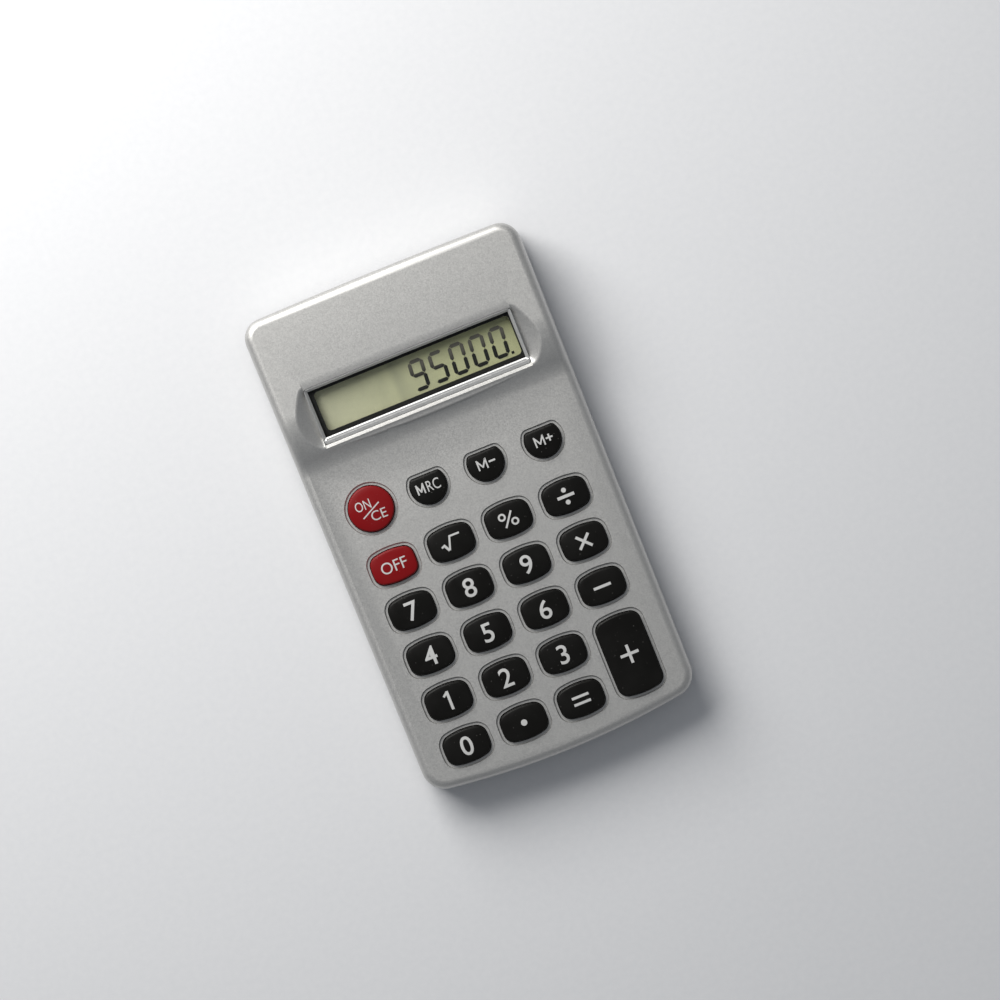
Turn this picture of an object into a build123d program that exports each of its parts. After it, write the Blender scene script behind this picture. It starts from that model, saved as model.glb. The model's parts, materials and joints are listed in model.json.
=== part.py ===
from build123d import *
from math import radians, sin
import os

# Pocket-size desk calculator: two-shell case, 23 keys on a silicone dome mat, one-line display, one AAA
# cell. Millimetres. The origin is under the middle of the case, on the surface that the feet stand on.
# +X is to the user's right, +Y towards the display end, +Z up.

os.makedirs("parts", exist_ok=True)

# ---- Case ----
body_length = 114.0
far_width = 65.4
near_width = 64.0
far_bow = 0.4
near_bow = 2.7
far_corner = 5.0
near_corner = 5.5
wall = 1.6
draft_angle = 3.4
rim_radius = 2.0
foot_height = 0.8
rear_depth = 3.2
rear_flare = 6.0
rear_edge_radius = 1.4
lip_width = 0.7
lip_height = 1.2
lip_clearance = 0.1

# ---- Cell and its bay ----
cell_diameter = 10.5
cell_length = 44.5
cell_nub_diameter = 3.8
cell_nub_length = 0.8
cell_edge_radius = 0.4
cell_gap = 0.4
cell_headroom = 1.7
cell_far_gap = 1.55
cell_offset_x = 0.6
bay_wall = 0.8
bay_wall_height = 9.0
bay_side_gap = 0.35
bay_far_gap = 1.4
bay_half_width = 24.6
contact_thickness = 0.4
contact_height = 7.6
contact_width = 8.0
contact_play = 0.1
blade_height = 2.0
blade_reach = 3.0
spring_wire = 0.5
spring_radius = 2.6
spring_turns = 3

# ---- Battery door ----
door_half_width = 23.0
door_head_half_width = 24.2
door_head_depth = 2.8
door_clearance = 0.15
tongue_thickness = 0.6
tongue_inner_x = 22.3
rail_thickness = 0.8
grip_width = 15.0
grip_height = 7.0
grip_depth = 0.5
grip_ridge = 0.7

# ---- Circuit board, dome mat and key stack ----
component_room = 3.4
board_thickness = 1.2
board_half_width = 25.8
board_end_gap = 4.8
board_corner = 3.0
mat_sheet = 0.8
mat_margin = 1.0
dome_height = 2.25
dome_base_radius = 3.3
dome_top_radius = 2.3
dome_skin = 0.5
dome_cap = 1.0
pill_radius = 1.5
pill_thickness = 0.4
pad_radius = 2.0
pad_thickness = 0.05
pad_split = 0.4
key_rest_gap = 0.05
flange_thickness = 0.8
flange_play = 0.1

# ---- Keys ----
column_pitch = 13.5
row_pitch = 10.6
function_row_gap = 10.65
memory_row_gap = 13.4
last_row_to_near_end = 9.75
key_width = 10.1
key_height = 7.3
key_end_bow = 0.85
key_side_bow = 0.3
key_corner = 2.2
tall_key_width = 10.3
tall_key_side_bow = 0.1
round_key_diameter = 10.1
segment_radius = 4.05
segment_flat = 2.5
segment_corner = 0.8
smallest_corner = 0.3
key_gap = 0.2
ledge_width = 0.5
ledge_depth = 0.4
ledge_chamfer = 0.18
flange_reach = 0.8
key_proud = 1.15
key_crown_radius = 34.0
key_edge_radius = 0.45
key_wall = 1.0
key_roof = 1.6
plunger_radius = 1.9

# ---- Display ----
display_tilt = 11.0
frame_sink = 0.35
cut_overlap = 0.05
dish_corner = 0.7
frame_far_to_far_end = 18.95
frame_width = 48.6
frame_height = 13.1
dish_far_floor = 2.8
dish_reach = 2.4
dish_near_rise = 2.0
scallop_depth = 0.8
scallop_half_width = 5.2
scallop_half_length = 9.4
scallop_foot_half_width = 0.2
scallop_foot_half_length = 5.0
scallop_offset = 0.4
scallop_rim_radius = 1.0
lip_rise = 0.6
lip_depth = 2.0
lip_half_width = 25.0
lip_near_gap = 2.3
lip_bow = 1.0
lip_corner = 1.2
lip_edge_radius = 0.6
bezel_clearance = 0.1
bezel_thickness = 0.5
bezel_proud = 0.05
bezel_side = 0.7
bezel_near = 1.4
bezel_skirt = 0.4
lens_clearance = 0.05
bezel_flat = 0.15
lens_thickness = 1.0
tape_thickness = 0.15
view_left = 22.5
view_right = 23.2
view_height = 9.1
view_near_gap = 0.9
view_corner = 0.9
window_ledge = 0.6
window_ledge_hidden = 0.35
window_block_half_width = 28.7
window_block_near = 9.0
window_block_far = 9.0
gasket_thickness = 0.25
gasket_width = 1.0
polariser_thickness = 0.15
reflector_thickness = 0.2
glass_thickness = 0.7
glass_margin = 1.9
glass_contact_shelf = 2.0
holder_thickness = 1.0
holder_wall = 0.8
holder_gap = 0.15
ribbon_width = 38.0
ribbon_thickness = 0.12
ribbon_bend = 1.2
ribbon_landing = 2.6

# ---- Slope between the display hump and the keypad ----
slope_top_to_far_end = 28.9
# The slope's run and its two radii are shares of how far it falls.
slope_run_share = 1.698
slope_top_share = 4.27
slope_foot_share = 2.71

# ---- Fasteners, supports and feet ----
screw_diameter = 2.0
screw_clearance = 0.1
screw_head_diameter = 3.6
screw_head_height = 1.2
screw_bite = 4.0
screw_slot = 0.5
screw_seat = 1.2
screw_head_rounding = 0.4
cross_share = 0.6
head_clearance = 0.3
boss_radius = 1.6
case_boss_x = 28.1
far_boss_to_far_end = 25.0
pillar_radius = 2.6
pillar_height = 2.1
board_screw_diameter = 1.6
board_screw_head_diameter = 3.0
board_screw_head_height = 0.9
board_boss_radius = 1.6
board_boss_clearance = 0.4
post_radius = 1.5
post_clearance = 0.4
foot_diameter = 6.0
foot_recess = 0.5
foot_clearance = 0.05
foot_rounding = 0.25
foot_inset_x = 24.5
near_foot_to_near_end = 7.5
far_foot_to_far_end = 20.5
label_width = 34.0
label_height = 20.0
label_depth = 0.25
label_corner = 1.5

# ---- Parts under the board ----
blob_radius = 6.0
blob_height = 1.3
capacitor_radius = 1.4
capacitor_length = 5.0
capacitor_edge_radius = 0.3
chip_part_length = 2.0
chip_part_width = 1.2
chip_part_height = 0.5

# ---- Worked out from the sizes above ----
far_y = body_length / 2
near_y = -body_length / 2
back_z = foot_height
floor_z = back_z + wall
parting_z = back_z + rear_depth
board_bottom_z = floor_z + component_room
board_top_z = board_bottom_z + board_thickness
key_bottom_z = board_top_z + dome_height + key_rest_gap
flange_top_z = key_bottom_z + flange_thickness
plate_bottom_z = flange_top_z + flange_play
keypad_z = plate_bottom_z + wall
cell_radius = cell_diameter / 2
cell_z = floor_z + cell_gap + cell_radius
hump_bottom_z = cell_z + cell_radius + cell_headroom
hump_z = hump_bottom_z + wall
cell_y = far_y - wall - cell_far_gap - cell_radius
bay_near_y = cell_y - cell_radius - bay_side_gap

# Heights in the display, square to its tilted plane, counted from the floor of the dish.
lens_top = bezel_proud - bezel_thickness
tape_top = lens_top - lens_thickness
ledge_top = tape_top - tape_thickness
ledge_bottom = ledge_top - window_ledge
polariser_top = ledge_bottom - gasket_thickness
glass_top = polariser_top - polariser_thickness
glass_middle = glass_top - glass_thickness
glass_bottom = glass_middle - glass_thickness
holder_top = glass_bottom - reflector_thickness
holder_bottom = holder_top - holder_thickness

# Places in the display, along its tilted plane, counted from the middle of its frame.
bezel_outer_width = frame_width - 2 * bezel_clearance
bezel_outer_height = frame_height - 2 * bezel_clearance
bezel_inner_width = bezel_outer_width - 2 * bezel_side
bezel_inner_height = bezel_outer_height - bezel_side - bezel_near
bezel_inner_y = (bezel_near - bezel_side) / 2
lens_width = bezel_outer_width - 2 * (bezel_skirt + lens_clearance)
lens_height = bezel_outer_height - 2 * (bezel_skirt + lens_clearance)
view_near_y = bezel_near + view_near_gap - bezel_outer_height / 2
view_far_y = view_near_y + view_height
view_x = (view_right - view_left) / 2
view_y = (view_near_y + view_far_y) / 2
view_width = view_left + view_right
glass_width = view_width + 2 * glass_margin
glass_far_y = view_far_y + glass_margin
front_glass_near_y = view_near_y - glass_margin
rear_glass_near_y = front_glass_near_y - glass_contact_shelf

frame_y = far_y - frame_far_to_far_end - frame_height / 2
frame_z = hump_z - frame_sink - sin(radians(display_tilt)) * frame_height / 2
display_plane = Plane(Location((0, frame_y, frame_z), (display_tilt, 0, 0)))
slope_top_y = far_y - slope_top_to_far_end
slope_fall = hump_z - keypad_z
slope_foot_y = slope_top_y - slope_fall * slope_run_share
slope_top_radius = slope_fall * slope_top_share
slope_foot_radius = slope_fall * slope_foot_share

# Row heights, counted from the user's end: row 6 is nearest, row 1 holds the memory keys.
row_6 = near_y + last_row_to_near_end
row_5 = row_6 + row_pitch
row_4 = row_5 + row_pitch
row_3 = row_4 + row_pitch
row_2 = row_3 + function_row_gap
row_1 = row_2 + memory_row_gap
column_1 = -1.5 * column_pitch
column_2 = -0.5 * column_pitch
column_3 = 0.5 * column_pitch
column_4 = 1.5 * column_pitch
tall_key_height = row_pitch + key_height

# Each key: node name, outline, column, row.
keys = [
    ("key_on_ce", "round", column_1, row_1),
    ("key_mrc", "segment", column_2, row_1),
    ("key_m_minus", "segment", column_3, row_1),
    ("key_m_plus", "segment", column_4, row_1),
    ("key_off", "standard", column_1, row_2),
    ("key_root", "standard", column_2, row_2),
    ("key_percent", "standard", column_3, row_2),
    ("key_divide", "standard", column_4, row_2),
    ("key_7", "standard", column_1, row_3),
    ("key_8", "standard", column_2, row_3),
    ("key_9", "standard", column_3, row_3),
    ("key_multiply", "standard", column_4, row_3),
    ("key_4", "standard", column_1, row_4),
    ("key_5", "standard", column_2, row_4),
    ("key_6", "standard", column_3, row_4),
    ("key_minus", "standard", column_4, row_4),
    ("key_1", "standard", column_1, row_5),
    ("key_2", "standard", column_2, row_5),
    ("key_3", "standard", column_3, row_5),
    ("key_plus", "tall", column_4, (row_5 + row_6) / 2),
    ("key_0", "standard", column_1, row_6),
    ("key_point", "standard", column_2, row_6),
    ("key_equals", "standard", column_3, row_6),
]
key_centres = [(x, y) for _, _, x, y in keys]

boss_row_y = (row_5 + row_6) / 2
case_screw_places = [
    (-case_boss_x, boss_row_y),
    (case_boss_x, boss_row_y),
    (-case_boss_x, far_y - far_boss_to_far_end),
    (case_boss_x, far_y - far_boss_to_far_end),
]
board_screw_places = [
    (-column_pitch, (row_1 + row_2) / 2),
    (column_pitch, (row_1 + row_2) / 2),
    (-column_pitch, (row_3 + row_4) / 2),
    (column_pitch, (row_3 + row_4) / 2),
    (-column_pitch, boss_row_y),
    (0, boss_row_y),
]
holder_post_places = [(-column_pitch, frame_y), (column_pitch, frame_y)]
board_post_places = [(column_1, row_4), (column_4, row_4), (column_2, row_1), (column_3, row_1)]
foot_places = [
    (-foot_inset_x, near_y + near_foot_to_near_end),
    (foot_inset_x, near_y + near_foot_to_near_end),
    (-foot_inset_x, far_y - far_foot_to_far_end),
    (foot_inset_x, far_y - far_foot_to_far_end),
]


# ---- Outlines shared by several pieces ----
def case_outline(inset):
    """Plan of the case at the parting plane, moved inwards by inset."""
    with BuildSketch() as outline:
        with BuildLine():
            ThreePointArc((far_width / 2, far_y - far_bow), (0, far_y), (-far_width / 2, far_y - far_bow))
            Line((-far_width / 2, far_y - far_bow), (-near_width / 2, near_y + near_bow))
            ThreePointArc(
                (-near_width / 2, near_y + near_bow), (0, near_y), (near_width / 2, near_y + near_bow)
            )
            Line((near_width / 2, near_y + near_bow), (far_width / 2, far_y - far_bow))
        make_face()
        fillet(outline.vertices().group_by(Axis.Y)[-1], far_corner)
        fillet(outline.vertices().group_by(Axis.Y)[0], near_corner)
        if inset > 0:
            offset(amount=-inset)
    return outline.sketch


def case_profile(inset):
    """Side view of the case, drawn with Y across and Z up: hump, slope and keypad, moved down by inset."""
    with BuildSketch() as profile:
        with BuildLine():
            Polyline(
                (body_length, hump_z),
                (slope_top_y, hump_z),
                (slope_foot_y, keypad_z),
                (-body_length, keypad_z),
                (-body_length, -hump_z),
                (body_length, -hump_z),
                close=True,
            )
        make_face()
        slope_corners = profile.vertices().filter_by_position(Axis.Y, 0, body_length)
        fillet(slope_corners.filter_by_position(Axis.X, slope_top_y, slope_top_y), slope_top_radius)
        slope_corners = profile.vertices().filter_by_position(Axis.Y, 0, body_length)
        fillet(slope_corners.filter_by_position(Axis.X, slope_foot_y, slope_foot_y), slope_foot_radius)
        if inset > 0:
            offset(amount=-inset)
    return profile.sketch


def case_form(inset, top_radius):
    """Closed form of the upper case above the parting plane, moved inwards by inset."""
    outline = case_outline(inset)
    profile = case_profile(inset)
    with BuildPart() as form:
        with BuildSketch(Plane.XY.offset(parting_z)):
            add(outline)
        extrude(amount=hump_z - parting_z, taper=draft_angle)
        with BuildSketch(Plane.YZ):
            add(profile)
        extrude(amount=body_length, both=True, mode=Mode.INTERSECT)
        upper_edges = form.edges().filter_by_position(
            Axis.Z, keypad_z - inset - cut_overlap, hump_z - inset + cut_overlap
        )
        fillet(upper_edges.filter_by(Axis.X, reverse=True), top_radius)
    return form.part


def bowed_rectangle(width, height, end_bow, side_bow, corner):
    """Rectangle with bowed ends and sides and round corners."""
    corner_x = width / 2 - side_bow
    corner_y = height / 2 - end_bow
    with BuildSketch() as outline:
        with BuildLine():
            ThreePointArc((corner_x, corner_y), (0, height / 2), (-corner_x, corner_y))
            ThreePointArc((-corner_x, corner_y), (-width / 2, 0), (-corner_x, -corner_y))
            ThreePointArc((-corner_x, -corner_y), (0, -height / 2), (corner_x, -corner_y))
            ThreePointArc((corner_x, -corner_y), (width / 2, 0), (corner_x, corner_y))
        make_face()
        fillet(outline.vertices(), corner)
    return outline.sketch


def key_outline(style, grow):
    """Outline of a key of the given style about its own centre, moved outwards by grow."""
    if style == "standard":
        return bowed_rectangle(
            key_width + 2 * grow, key_height + 2 * grow, key_end_bow, key_side_bow,
            max(key_corner + grow, smallest_corner),
        )
    if style == "tall":
        return bowed_rectangle(
            tall_key_width + 2 * grow, tall_key_height + 2 * grow, key_end_bow, tall_key_side_bow,
            max(key_corner + grow, smallest_corner),
        )
    if style == "round":
        with BuildSketch() as outline:
            Circle(round_key_diameter / 2 + grow)
        return outline.sketch
    with BuildSketch() as outline:
        Circle(segment_radius + grow)
        with Locations((0, segment_flat + grow)):
            Rectangle(4 * segment_radius, 2 * segment_radius, align=(Align.CENTER, Align.MIN),
                      mode=Mode.SUBTRACT)
        fillet(outline.vertices().group_by(Axis.Y)[-1], max(segment_corner + grow, smallest_corner))
    return outline.sketch


def all_key_outlines(grow):
    """Outlines of all the keys in their places, moved outwards by grow."""
    outlines = [(key_outline(style, grow), x, y) for _, style, x, y in keys]
    with BuildSketch() as sheet:
        for outline, x, y in outlines:
            with Locations((x, y)):
                add(outline)
    return sheet.sketch


def door_outline(grow):
    """Plan of the battery door, a plate with a wider head at the far end, moved outwards by grow."""
    head_y = far_y - door_head_depth - grow
    near_edge_y = bay_near_y + door_clearance - grow
    with BuildSketch() as outline:
        with Locations((0, near_edge_y)):
            Rectangle(2 * (door_half_width + grow), body_length / 2, align=(Align.CENTER, Align.MIN))
        with Locations((0, head_y)):
            Rectangle(2 * (door_head_half_width + grow), body_length / 2, align=(Align.CENTER, Align.MIN))
    return outline.sketch


def rear_form(top_z):
    """Closed form of the lower case from its back up to top_z, flaring out towards the parting plane."""
    outline = case_outline(0)
    with BuildPart() as form:
        with BuildSketch(Plane.XY.offset(parting_z)):
            add(outline)
        extrude(amount=-rear_depth, taper=rear_flare)
        fillet(form.faces().sort_by(Axis.Z)[0].outer_wire().edges(), rear_edge_radius)
        if top_z > parting_z:
            with BuildSketch(Plane.XY.offset(parting_z)):
                add(outline)
            extrude(amount=top_z - parting_z)
    return form.part


def write(builder, name):
    """Label a finished piece and write it as a STEP file of the same name."""
    builder.part.label = name
    export_step(builder.part, f"parts/{name}.step")


# ---- Front shell: painted case top with the key holes, the display dish and the screw bosses ----
outer_form = case_form(0, rim_radius)
inner_form = case_form(wall, rim_radius - wall / 2)
lip_recess = case_outline(wall - lip_width - lip_clearance)
recesses = all_key_outlines(key_gap + ledge_width)
holes = all_key_outlines(key_gap)

with BuildPart() as window_block:
    with BuildSketch(display_plane.offset(ledge_bottom)):
        with BuildLine():
            Polyline(
                (window_block_half_width, window_block_far),
                (-window_block_half_width, window_block_far),
                (-window_block_half_width, -window_block_near),
                (window_block_half_width, -window_block_near),
                close=True,
            )
        make_face()
    extrude(amount=dish_reach - ledge_bottom)
    add(outer_form, mode=Mode.INTERSECT)

with BuildPart() as window_lip:
    lip_near_y = -frame_height / 2 - lip_near_gap
    with BuildSketch(display_plane.offset(lip_rise)) as lip_plan:
        with BuildLine():
            ThreePointArc(
                (-lip_half_width, lip_near_y + lip_bow),
                (0, lip_near_y),
                (lip_half_width, lip_near_y + lip_bow),
            )
            Polyline(
                (lip_half_width, lip_near_y + lip_bow),
                (lip_half_width, 0),
                (-lip_half_width, 0),
                (-lip_half_width, lip_near_y + lip_bow),
            )
        make_face()
        fillet(lip_plan.vertices().group_by(Axis.Y)[0], lip_corner)
    extrude(amount=-lip_depth)
    lip_top = window_lip.faces().sort_by(Axis.Z)[-1]
    fillet(lip_top.outer_wire().edges(), lip_edge_radius)

with BuildPart() as front_shell:
    add(outer_form)
    add(inner_form, mode=Mode.SUBTRACT)
    with BuildSketch(Plane.XY.offset(parting_z)):
        add(lip_recess)
    extrude(amount=lip_height + 2 * lip_clearance, mode=Mode.SUBTRACT)
    # Key recesses: a shallow ledge round each hole, with a bevelled outer edge.
    with BuildSketch(Plane.XY.offset(keypad_z)):
        add(recesses)
    extrude(amount=-ledge_depth, mode=Mode.SUBTRACT)
    level_faces = front_shell.faces().filter_by(Axis.Z)
    plate_top = level_faces.filter_by_position(Axis.Z, keypad_z - cut_overlap, keypad_z + cut_overlap)
    recess_rims = [wire.edges() for wire in plate_top.sort_by(SortBy.AREA)[-1].inner_wires()]
    chamfer(ShapeList([edge for rim in recess_rims for edge in rim]), ledge_chamfer)
    with BuildSketch(Plane.XY.offset(keypad_z)):
        add(holes)
    extrude(amount=-2 * wall, mode=Mode.SUBTRACT)
    # Thick frame under the hump that carries the display window, and the raised lip on its near side.
    add(window_block.part)
    add(window_lip.part)
    # Scallops beside the window, which run out into the hump.
    for side in (-1, 1):
        with BuildSketch(display_plane.offset(-scallop_depth)):
            with Locations((side * frame_width / 2, scallop_offset)):
                Ellipse(scallop_foot_half_width, scallop_foot_half_length)
        with BuildSketch(display_plane.offset(dish_reach)):
            with Locations((side * frame_width / 2, scallop_offset)):
                Ellipse(scallop_half_width, scallop_half_length)
        loft(ruled=True, mode=Mode.SUBTRACT)
        outer_x = frame_width / 2 + scallop_rim_radius
        scallop_rim = front_shell.edges(Select.LAST).filter_by(lambda edge: abs(edge.center().X) > outer_x)
        fillet(scallop_rim, scallop_rim_radius)
    # Dish: its floor runs on past the frame until it meets the hump, and its near side rises to the lip.
    with BuildSketch(display_plane):
        with Locations((0, -frame_height / 2)):
            Rectangle(frame_width, frame_height + dish_far_floor, align=(Align.CENTER, Align.MIN))
    with BuildSketch(display_plane.offset(dish_reach)):
        with Locations((0, -frame_height / 2 - dish_near_rise)):
            Rectangle(
                frame_width, frame_height + dish_far_floor + dish_near_rise, align=(Align.CENTER, Align.MIN)
            )
    loft(ruled=True, mode=Mode.SUBTRACT)
    with BuildSketch(display_plane.offset(ledge_top)):
        RectangleRounded(frame_width, frame_height, dish_corner)
    extrude(amount=dish_reach - ledge_top, mode=Mode.SUBTRACT)
    with BuildSketch(display_plane.offset(ledge_bottom - cut_overlap)):
        with Locations((view_x, view_y)):
            RectangleRounded(
                view_width + 2 * window_ledge_hidden, view_height + 2 * window_ledge_hidden, view_corner
            )
    extrude(amount=window_ledge + 2 * cut_overlap, mode=Mode.SUBTRACT)
    # Bosses for the board screws hang under the keypad plate.
    with BuildSketch(Plane.XY.offset(board_top_z)):
        with Locations(*board_screw_places):
            Circle(board_boss_radius)
            Circle(board_screw_diameter / 2 + screw_clearance / 2, mode=Mode.SUBTRACT)
    extrude(amount=plate_bottom_z - board_top_z)
    # Bosses for the case screws reach down to the rear shell's pillars.
    with BuildSketch(Plane.XY.offset(back_z + wall + pillar_height)):
        with Locations(*case_screw_places[:2]):
            Circle(boss_radius)
    extrude(amount=plate_bottom_z - back_z - wall - pillar_height)
    with BuildSketch(Plane.XY.offset(back_z + wall + pillar_height)):
        with Locations(*case_screw_places[2:]):
            Circle(boss_radius)
    extrude(amount=hump_bottom_z - back_z - wall - pillar_height)
    with BuildSketch(Plane.XY.offset(back_z + wall + pillar_height)):
        with Locations(*case_screw_places):
            Circle((screw_diameter + screw_clearance) / 2)
    extrude(amount=screw_bite + screw_clearance, mode=Mode.SUBTRACT)
write(front_shell, "front_shell")

# ---- Rear shell: tray with the battery bay, the screw pillars and the foot recesses ----
rear_body = rear_form(parting_z)
tray_hollow = case_outline(wall)
lip_outer = case_outline(wall - lip_width)
door_opening = door_outline(door_clearance)

with BuildPart() as rear_shell:
    add(rear_body)
    with BuildSketch(Plane.XY.offset(floor_z)):
        add(lip_outer)
    extrude(amount=parting_z + lip_height - floor_z)
    with BuildSketch(Plane.XY.offset(floor_z)):
        add(tray_hollow)
    extrude(amount=hump_z, mode=Mode.SUBTRACT)
    # Bay walls: one across the near side of the cell and one past each end of it.
    bay_length_y = far_y - wall - bay_far_gap - bay_near_y
    with BuildSketch(Plane.XY.offset(floor_z)):
        with Locations((0, bay_near_y)):
            Rectangle(2 * (bay_half_width + bay_wall), bay_wall, align=(Align.CENTER, Align.MAX))
        with Locations((-bay_half_width, bay_near_y - bay_wall)):
            Rectangle(bay_wall, bay_length_y + bay_wall, align=(Align.MAX, Align.MIN))
        with Locations((bay_half_width, bay_near_y - bay_wall)):
            Rectangle(bay_wall, bay_length_y + bay_wall, align=(Align.MIN, Align.MIN))
    extrude(amount=bay_wall_height)
    # Rails over the door's tongues.
    rail_z = floor_z + tongue_thickness + 2 * door_clearance
    rail_inner_x = door_half_width + 2 * door_clearance
    with BuildSketch(Plane.XY.offset(rail_z)):
        with Locations((-bay_half_width, bay_near_y)):
            Rectangle(bay_half_width - rail_inner_x, bay_length_y - door_head_depth,
                      align=(Align.MIN, Align.MIN))
        with Locations((bay_half_width, bay_near_y)):
            Rectangle(bay_half_width - rail_inner_x, bay_length_y - door_head_depth,
                      align=(Align.MAX, Align.MIN))
    extrude(amount=rail_thickness)
    # Slots in the near bay wall for the contacts' blades.
    with BuildSketch(Plane.XY.offset(board_top_z - contact_play)):
        with Locations(
            (cell_offset_x + cell_length / 2 + contact_play + contact_thickness / 2, bay_near_y),
            (-bay_half_width + contact_play + contact_thickness / 2, bay_near_y),
        ):
            Rectangle(contact_thickness + 2 * contact_play, 4 * bay_wall)
    extrude(amount=bay_wall_height, mode=Mode.SUBTRACT)
    # Opening for the sliding door, through the floor and the far wall.
    with BuildSketch(Plane.XY.offset(back_z - cut_overlap)):
        add(door_opening)
    extrude(amount=floor_z - back_z + cut_overlap, mode=Mode.SUBTRACT)
    with BuildSketch(Plane.XY.offset(floor_z)):
        with Locations((0, far_y - wall - far_bow - lip_clearance)):
            Rectangle(
                2 * (door_head_half_width + door_clearance), 3 * wall, align=(Align.CENTER, Align.MIN)
            )
    extrude(amount=hump_z, mode=Mode.SUBTRACT)
    # Pillars for the case screws, each with a sunk seat for the screw head.
    with BuildSketch(Plane.XY.offset(floor_z)):
        with Locations(*case_screw_places):
            Circle(pillar_radius)
    extrude(amount=pillar_height)
    with BuildSketch(Plane.XY.offset(back_z)):
        with Locations(*case_screw_places):
            Circle(screw_head_diameter / 2 + head_clearance)
    extrude(amount=wall + pillar_height - screw_seat, mode=Mode.SUBTRACT)
    with BuildSketch(Plane.XY.offset(back_z)):
        with Locations(*case_screw_places):
            Circle(screw_diameter / 2 + screw_clearance)
    extrude(amount=wall + pillar_height, mode=Mode.SUBTRACT)
    # Posts under the circuit board and under the display holder.
    with BuildSketch(Plane.XY.offset(floor_z)):
        with Locations(*board_post_places):
            Circle(post_radius)
    extrude(amount=board_bottom_z - floor_z)
    with BuildSketch(Plane.XY.offset(floor_z)):
        with Locations(*holder_post_places):
            Circle(post_radius)
    extrude(amount=frame_z - floor_z)
    with BuildSketch(display_plane.offset(holder_bottom)):
        with Locations(*[(x, 0) for x, _ in holder_post_places]):
            Circle(2 * post_radius)
    extrude(amount=-2 * holder_bottom, mode=Mode.SUBTRACT)
    # Foot recesses and a shallow blank panel on the back.
    with BuildSketch(Plane.XY.offset(back_z)):
        with Locations(*foot_places):
            Circle(foot_diameter / 2 + foot_clearance)
    extrude(amount=foot_recess, mode=Mode.SUBTRACT)
    with BuildSketch(Plane.XY.offset(back_z)):
        RectangleRounded(label_width, label_height, label_corner)
    extrude(amount=label_depth, mode=Mode.SUBTRACT)
write(rear_shell, "rear_shell")

# ---- Battery door: slides out towards the far end on two tongues ----
door_body = rear_form(parting_z)
door_plan = door_outline(0)
door_hollow = case_outline(wall)

with BuildPart() as battery_door:
    add(door_body)
    with BuildSketch(Plane.XY.offset(floor_z)):
        add(door_hollow)
    extrude(amount=hump_z, mode=Mode.SUBTRACT)
    with BuildSketch(Plane.XY.offset(back_z)):
        add(door_plan)
    extrude(amount=rear_depth - lip_clearance, mode=Mode.INTERSECT)
    # Tongues that run on the floor beside the opening.
    tongue_y = bay_near_y + 2 * door_clearance
    tongue_length = bay_length_y - door_head_depth - 2 * door_clearance
    tongue_reach = door_head_half_width - tongue_inner_x
    with BuildSketch(Plane.XY.offset(floor_z + door_clearance)):
        with Locations((tongue_inner_x, tongue_y)):
            Rectangle(tongue_reach, tongue_length, align=(Align.MIN, Align.MIN))
        with Locations((-tongue_inner_x, tongue_y)):
            Rectangle(tongue_reach, tongue_length, align=(Align.MAX, Align.MIN))
    extrude(amount=tongue_thickness)
    with BuildSketch(Plane.XY.offset(floor_z)):
        with Locations((tongue_inner_x, tongue_y)):
            Rectangle(door_half_width - tongue_inner_x, tongue_length, align=(Align.MIN, Align.MIN))
        with Locations((-tongue_inner_x, tongue_y)):
            Rectangle(door_half_width - tongue_inner_x, tongue_length, align=(Align.MAX, Align.MIN))
    extrude(amount=door_clearance)
    # Finger grip: a sunk oval with ridges left standing across it.
    with BuildSketch(Plane.XY.offset(back_z)):
        with Locations((0, cell_y)):
            Ellipse(grip_width / 2, grip_height / 2)
        with Locations((0, cell_y)):
            with GridLocations(0, 2 * grip_ridge, 1, 3):
                Rectangle(grip_width, grip_ridge, mode=Mode.SUBTRACT)
    extrude(amount=grip_depth, mode=Mode.SUBTRACT)
write(battery_door, "battery_door")

# ---- Keys: flanged caps with crowned tops, hollow underneath round a plunger ----
for name, style, x, y in keys:
    cap_outline = key_outline(style, 0)
    flange_outline = key_outline(style, flange_reach)
    pocket_outline = key_outline(style, -key_wall)
    crown_z = keypad_z + key_proud
    with BuildPart() as key:
        with BuildSketch(Plane.XY.offset(key_bottom_z)):
            with Locations((x, y)):
                add(cap_outline)
        extrude(amount=crown_z - key_bottom_z)
        if style == "tall":
            with Locations((x, y, crown_z - key_crown_radius)):
                Cylinder(key_crown_radius, 4 * tall_key_height, rotation=(90, 0, 0), mode=Mode.INTERSECT)
        else:
            with Locations((x, y, crown_z - key_crown_radius)):
                Sphere(key_crown_radius, mode=Mode.INTERSECT)
        top_face = key.faces().sort_by(Axis.Z)[-1]
        fillet(top_face.outer_wire().edges(), key_edge_radius)
        with BuildSketch(Plane.XY.offset(key_bottom_z)):
            with Locations((x, y)):
                add(flange_outline)
        extrude(amount=flange_thickness)
        with BuildSketch(Plane.XY.offset(key_bottom_z)):
            with Locations((x, y)):
                add(pocket_outline)
                Circle(plunger_radius, mode=Mode.SUBTRACT)
        extrude(amount=crown_z - key_bottom_z - key_roof, mode=Mode.SUBTRACT)
    write(key, name)

# ---- Dome mat: one silicone sheet with a hollow dome under every key ----
mat_far_y = row_1 + round_key_diameter / 2 + flange_reach + mat_margin
mat_near_y = row_6 - key_height / 2 - flange_reach
mat_half_width = column_4 + round_key_diameter / 2

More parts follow.
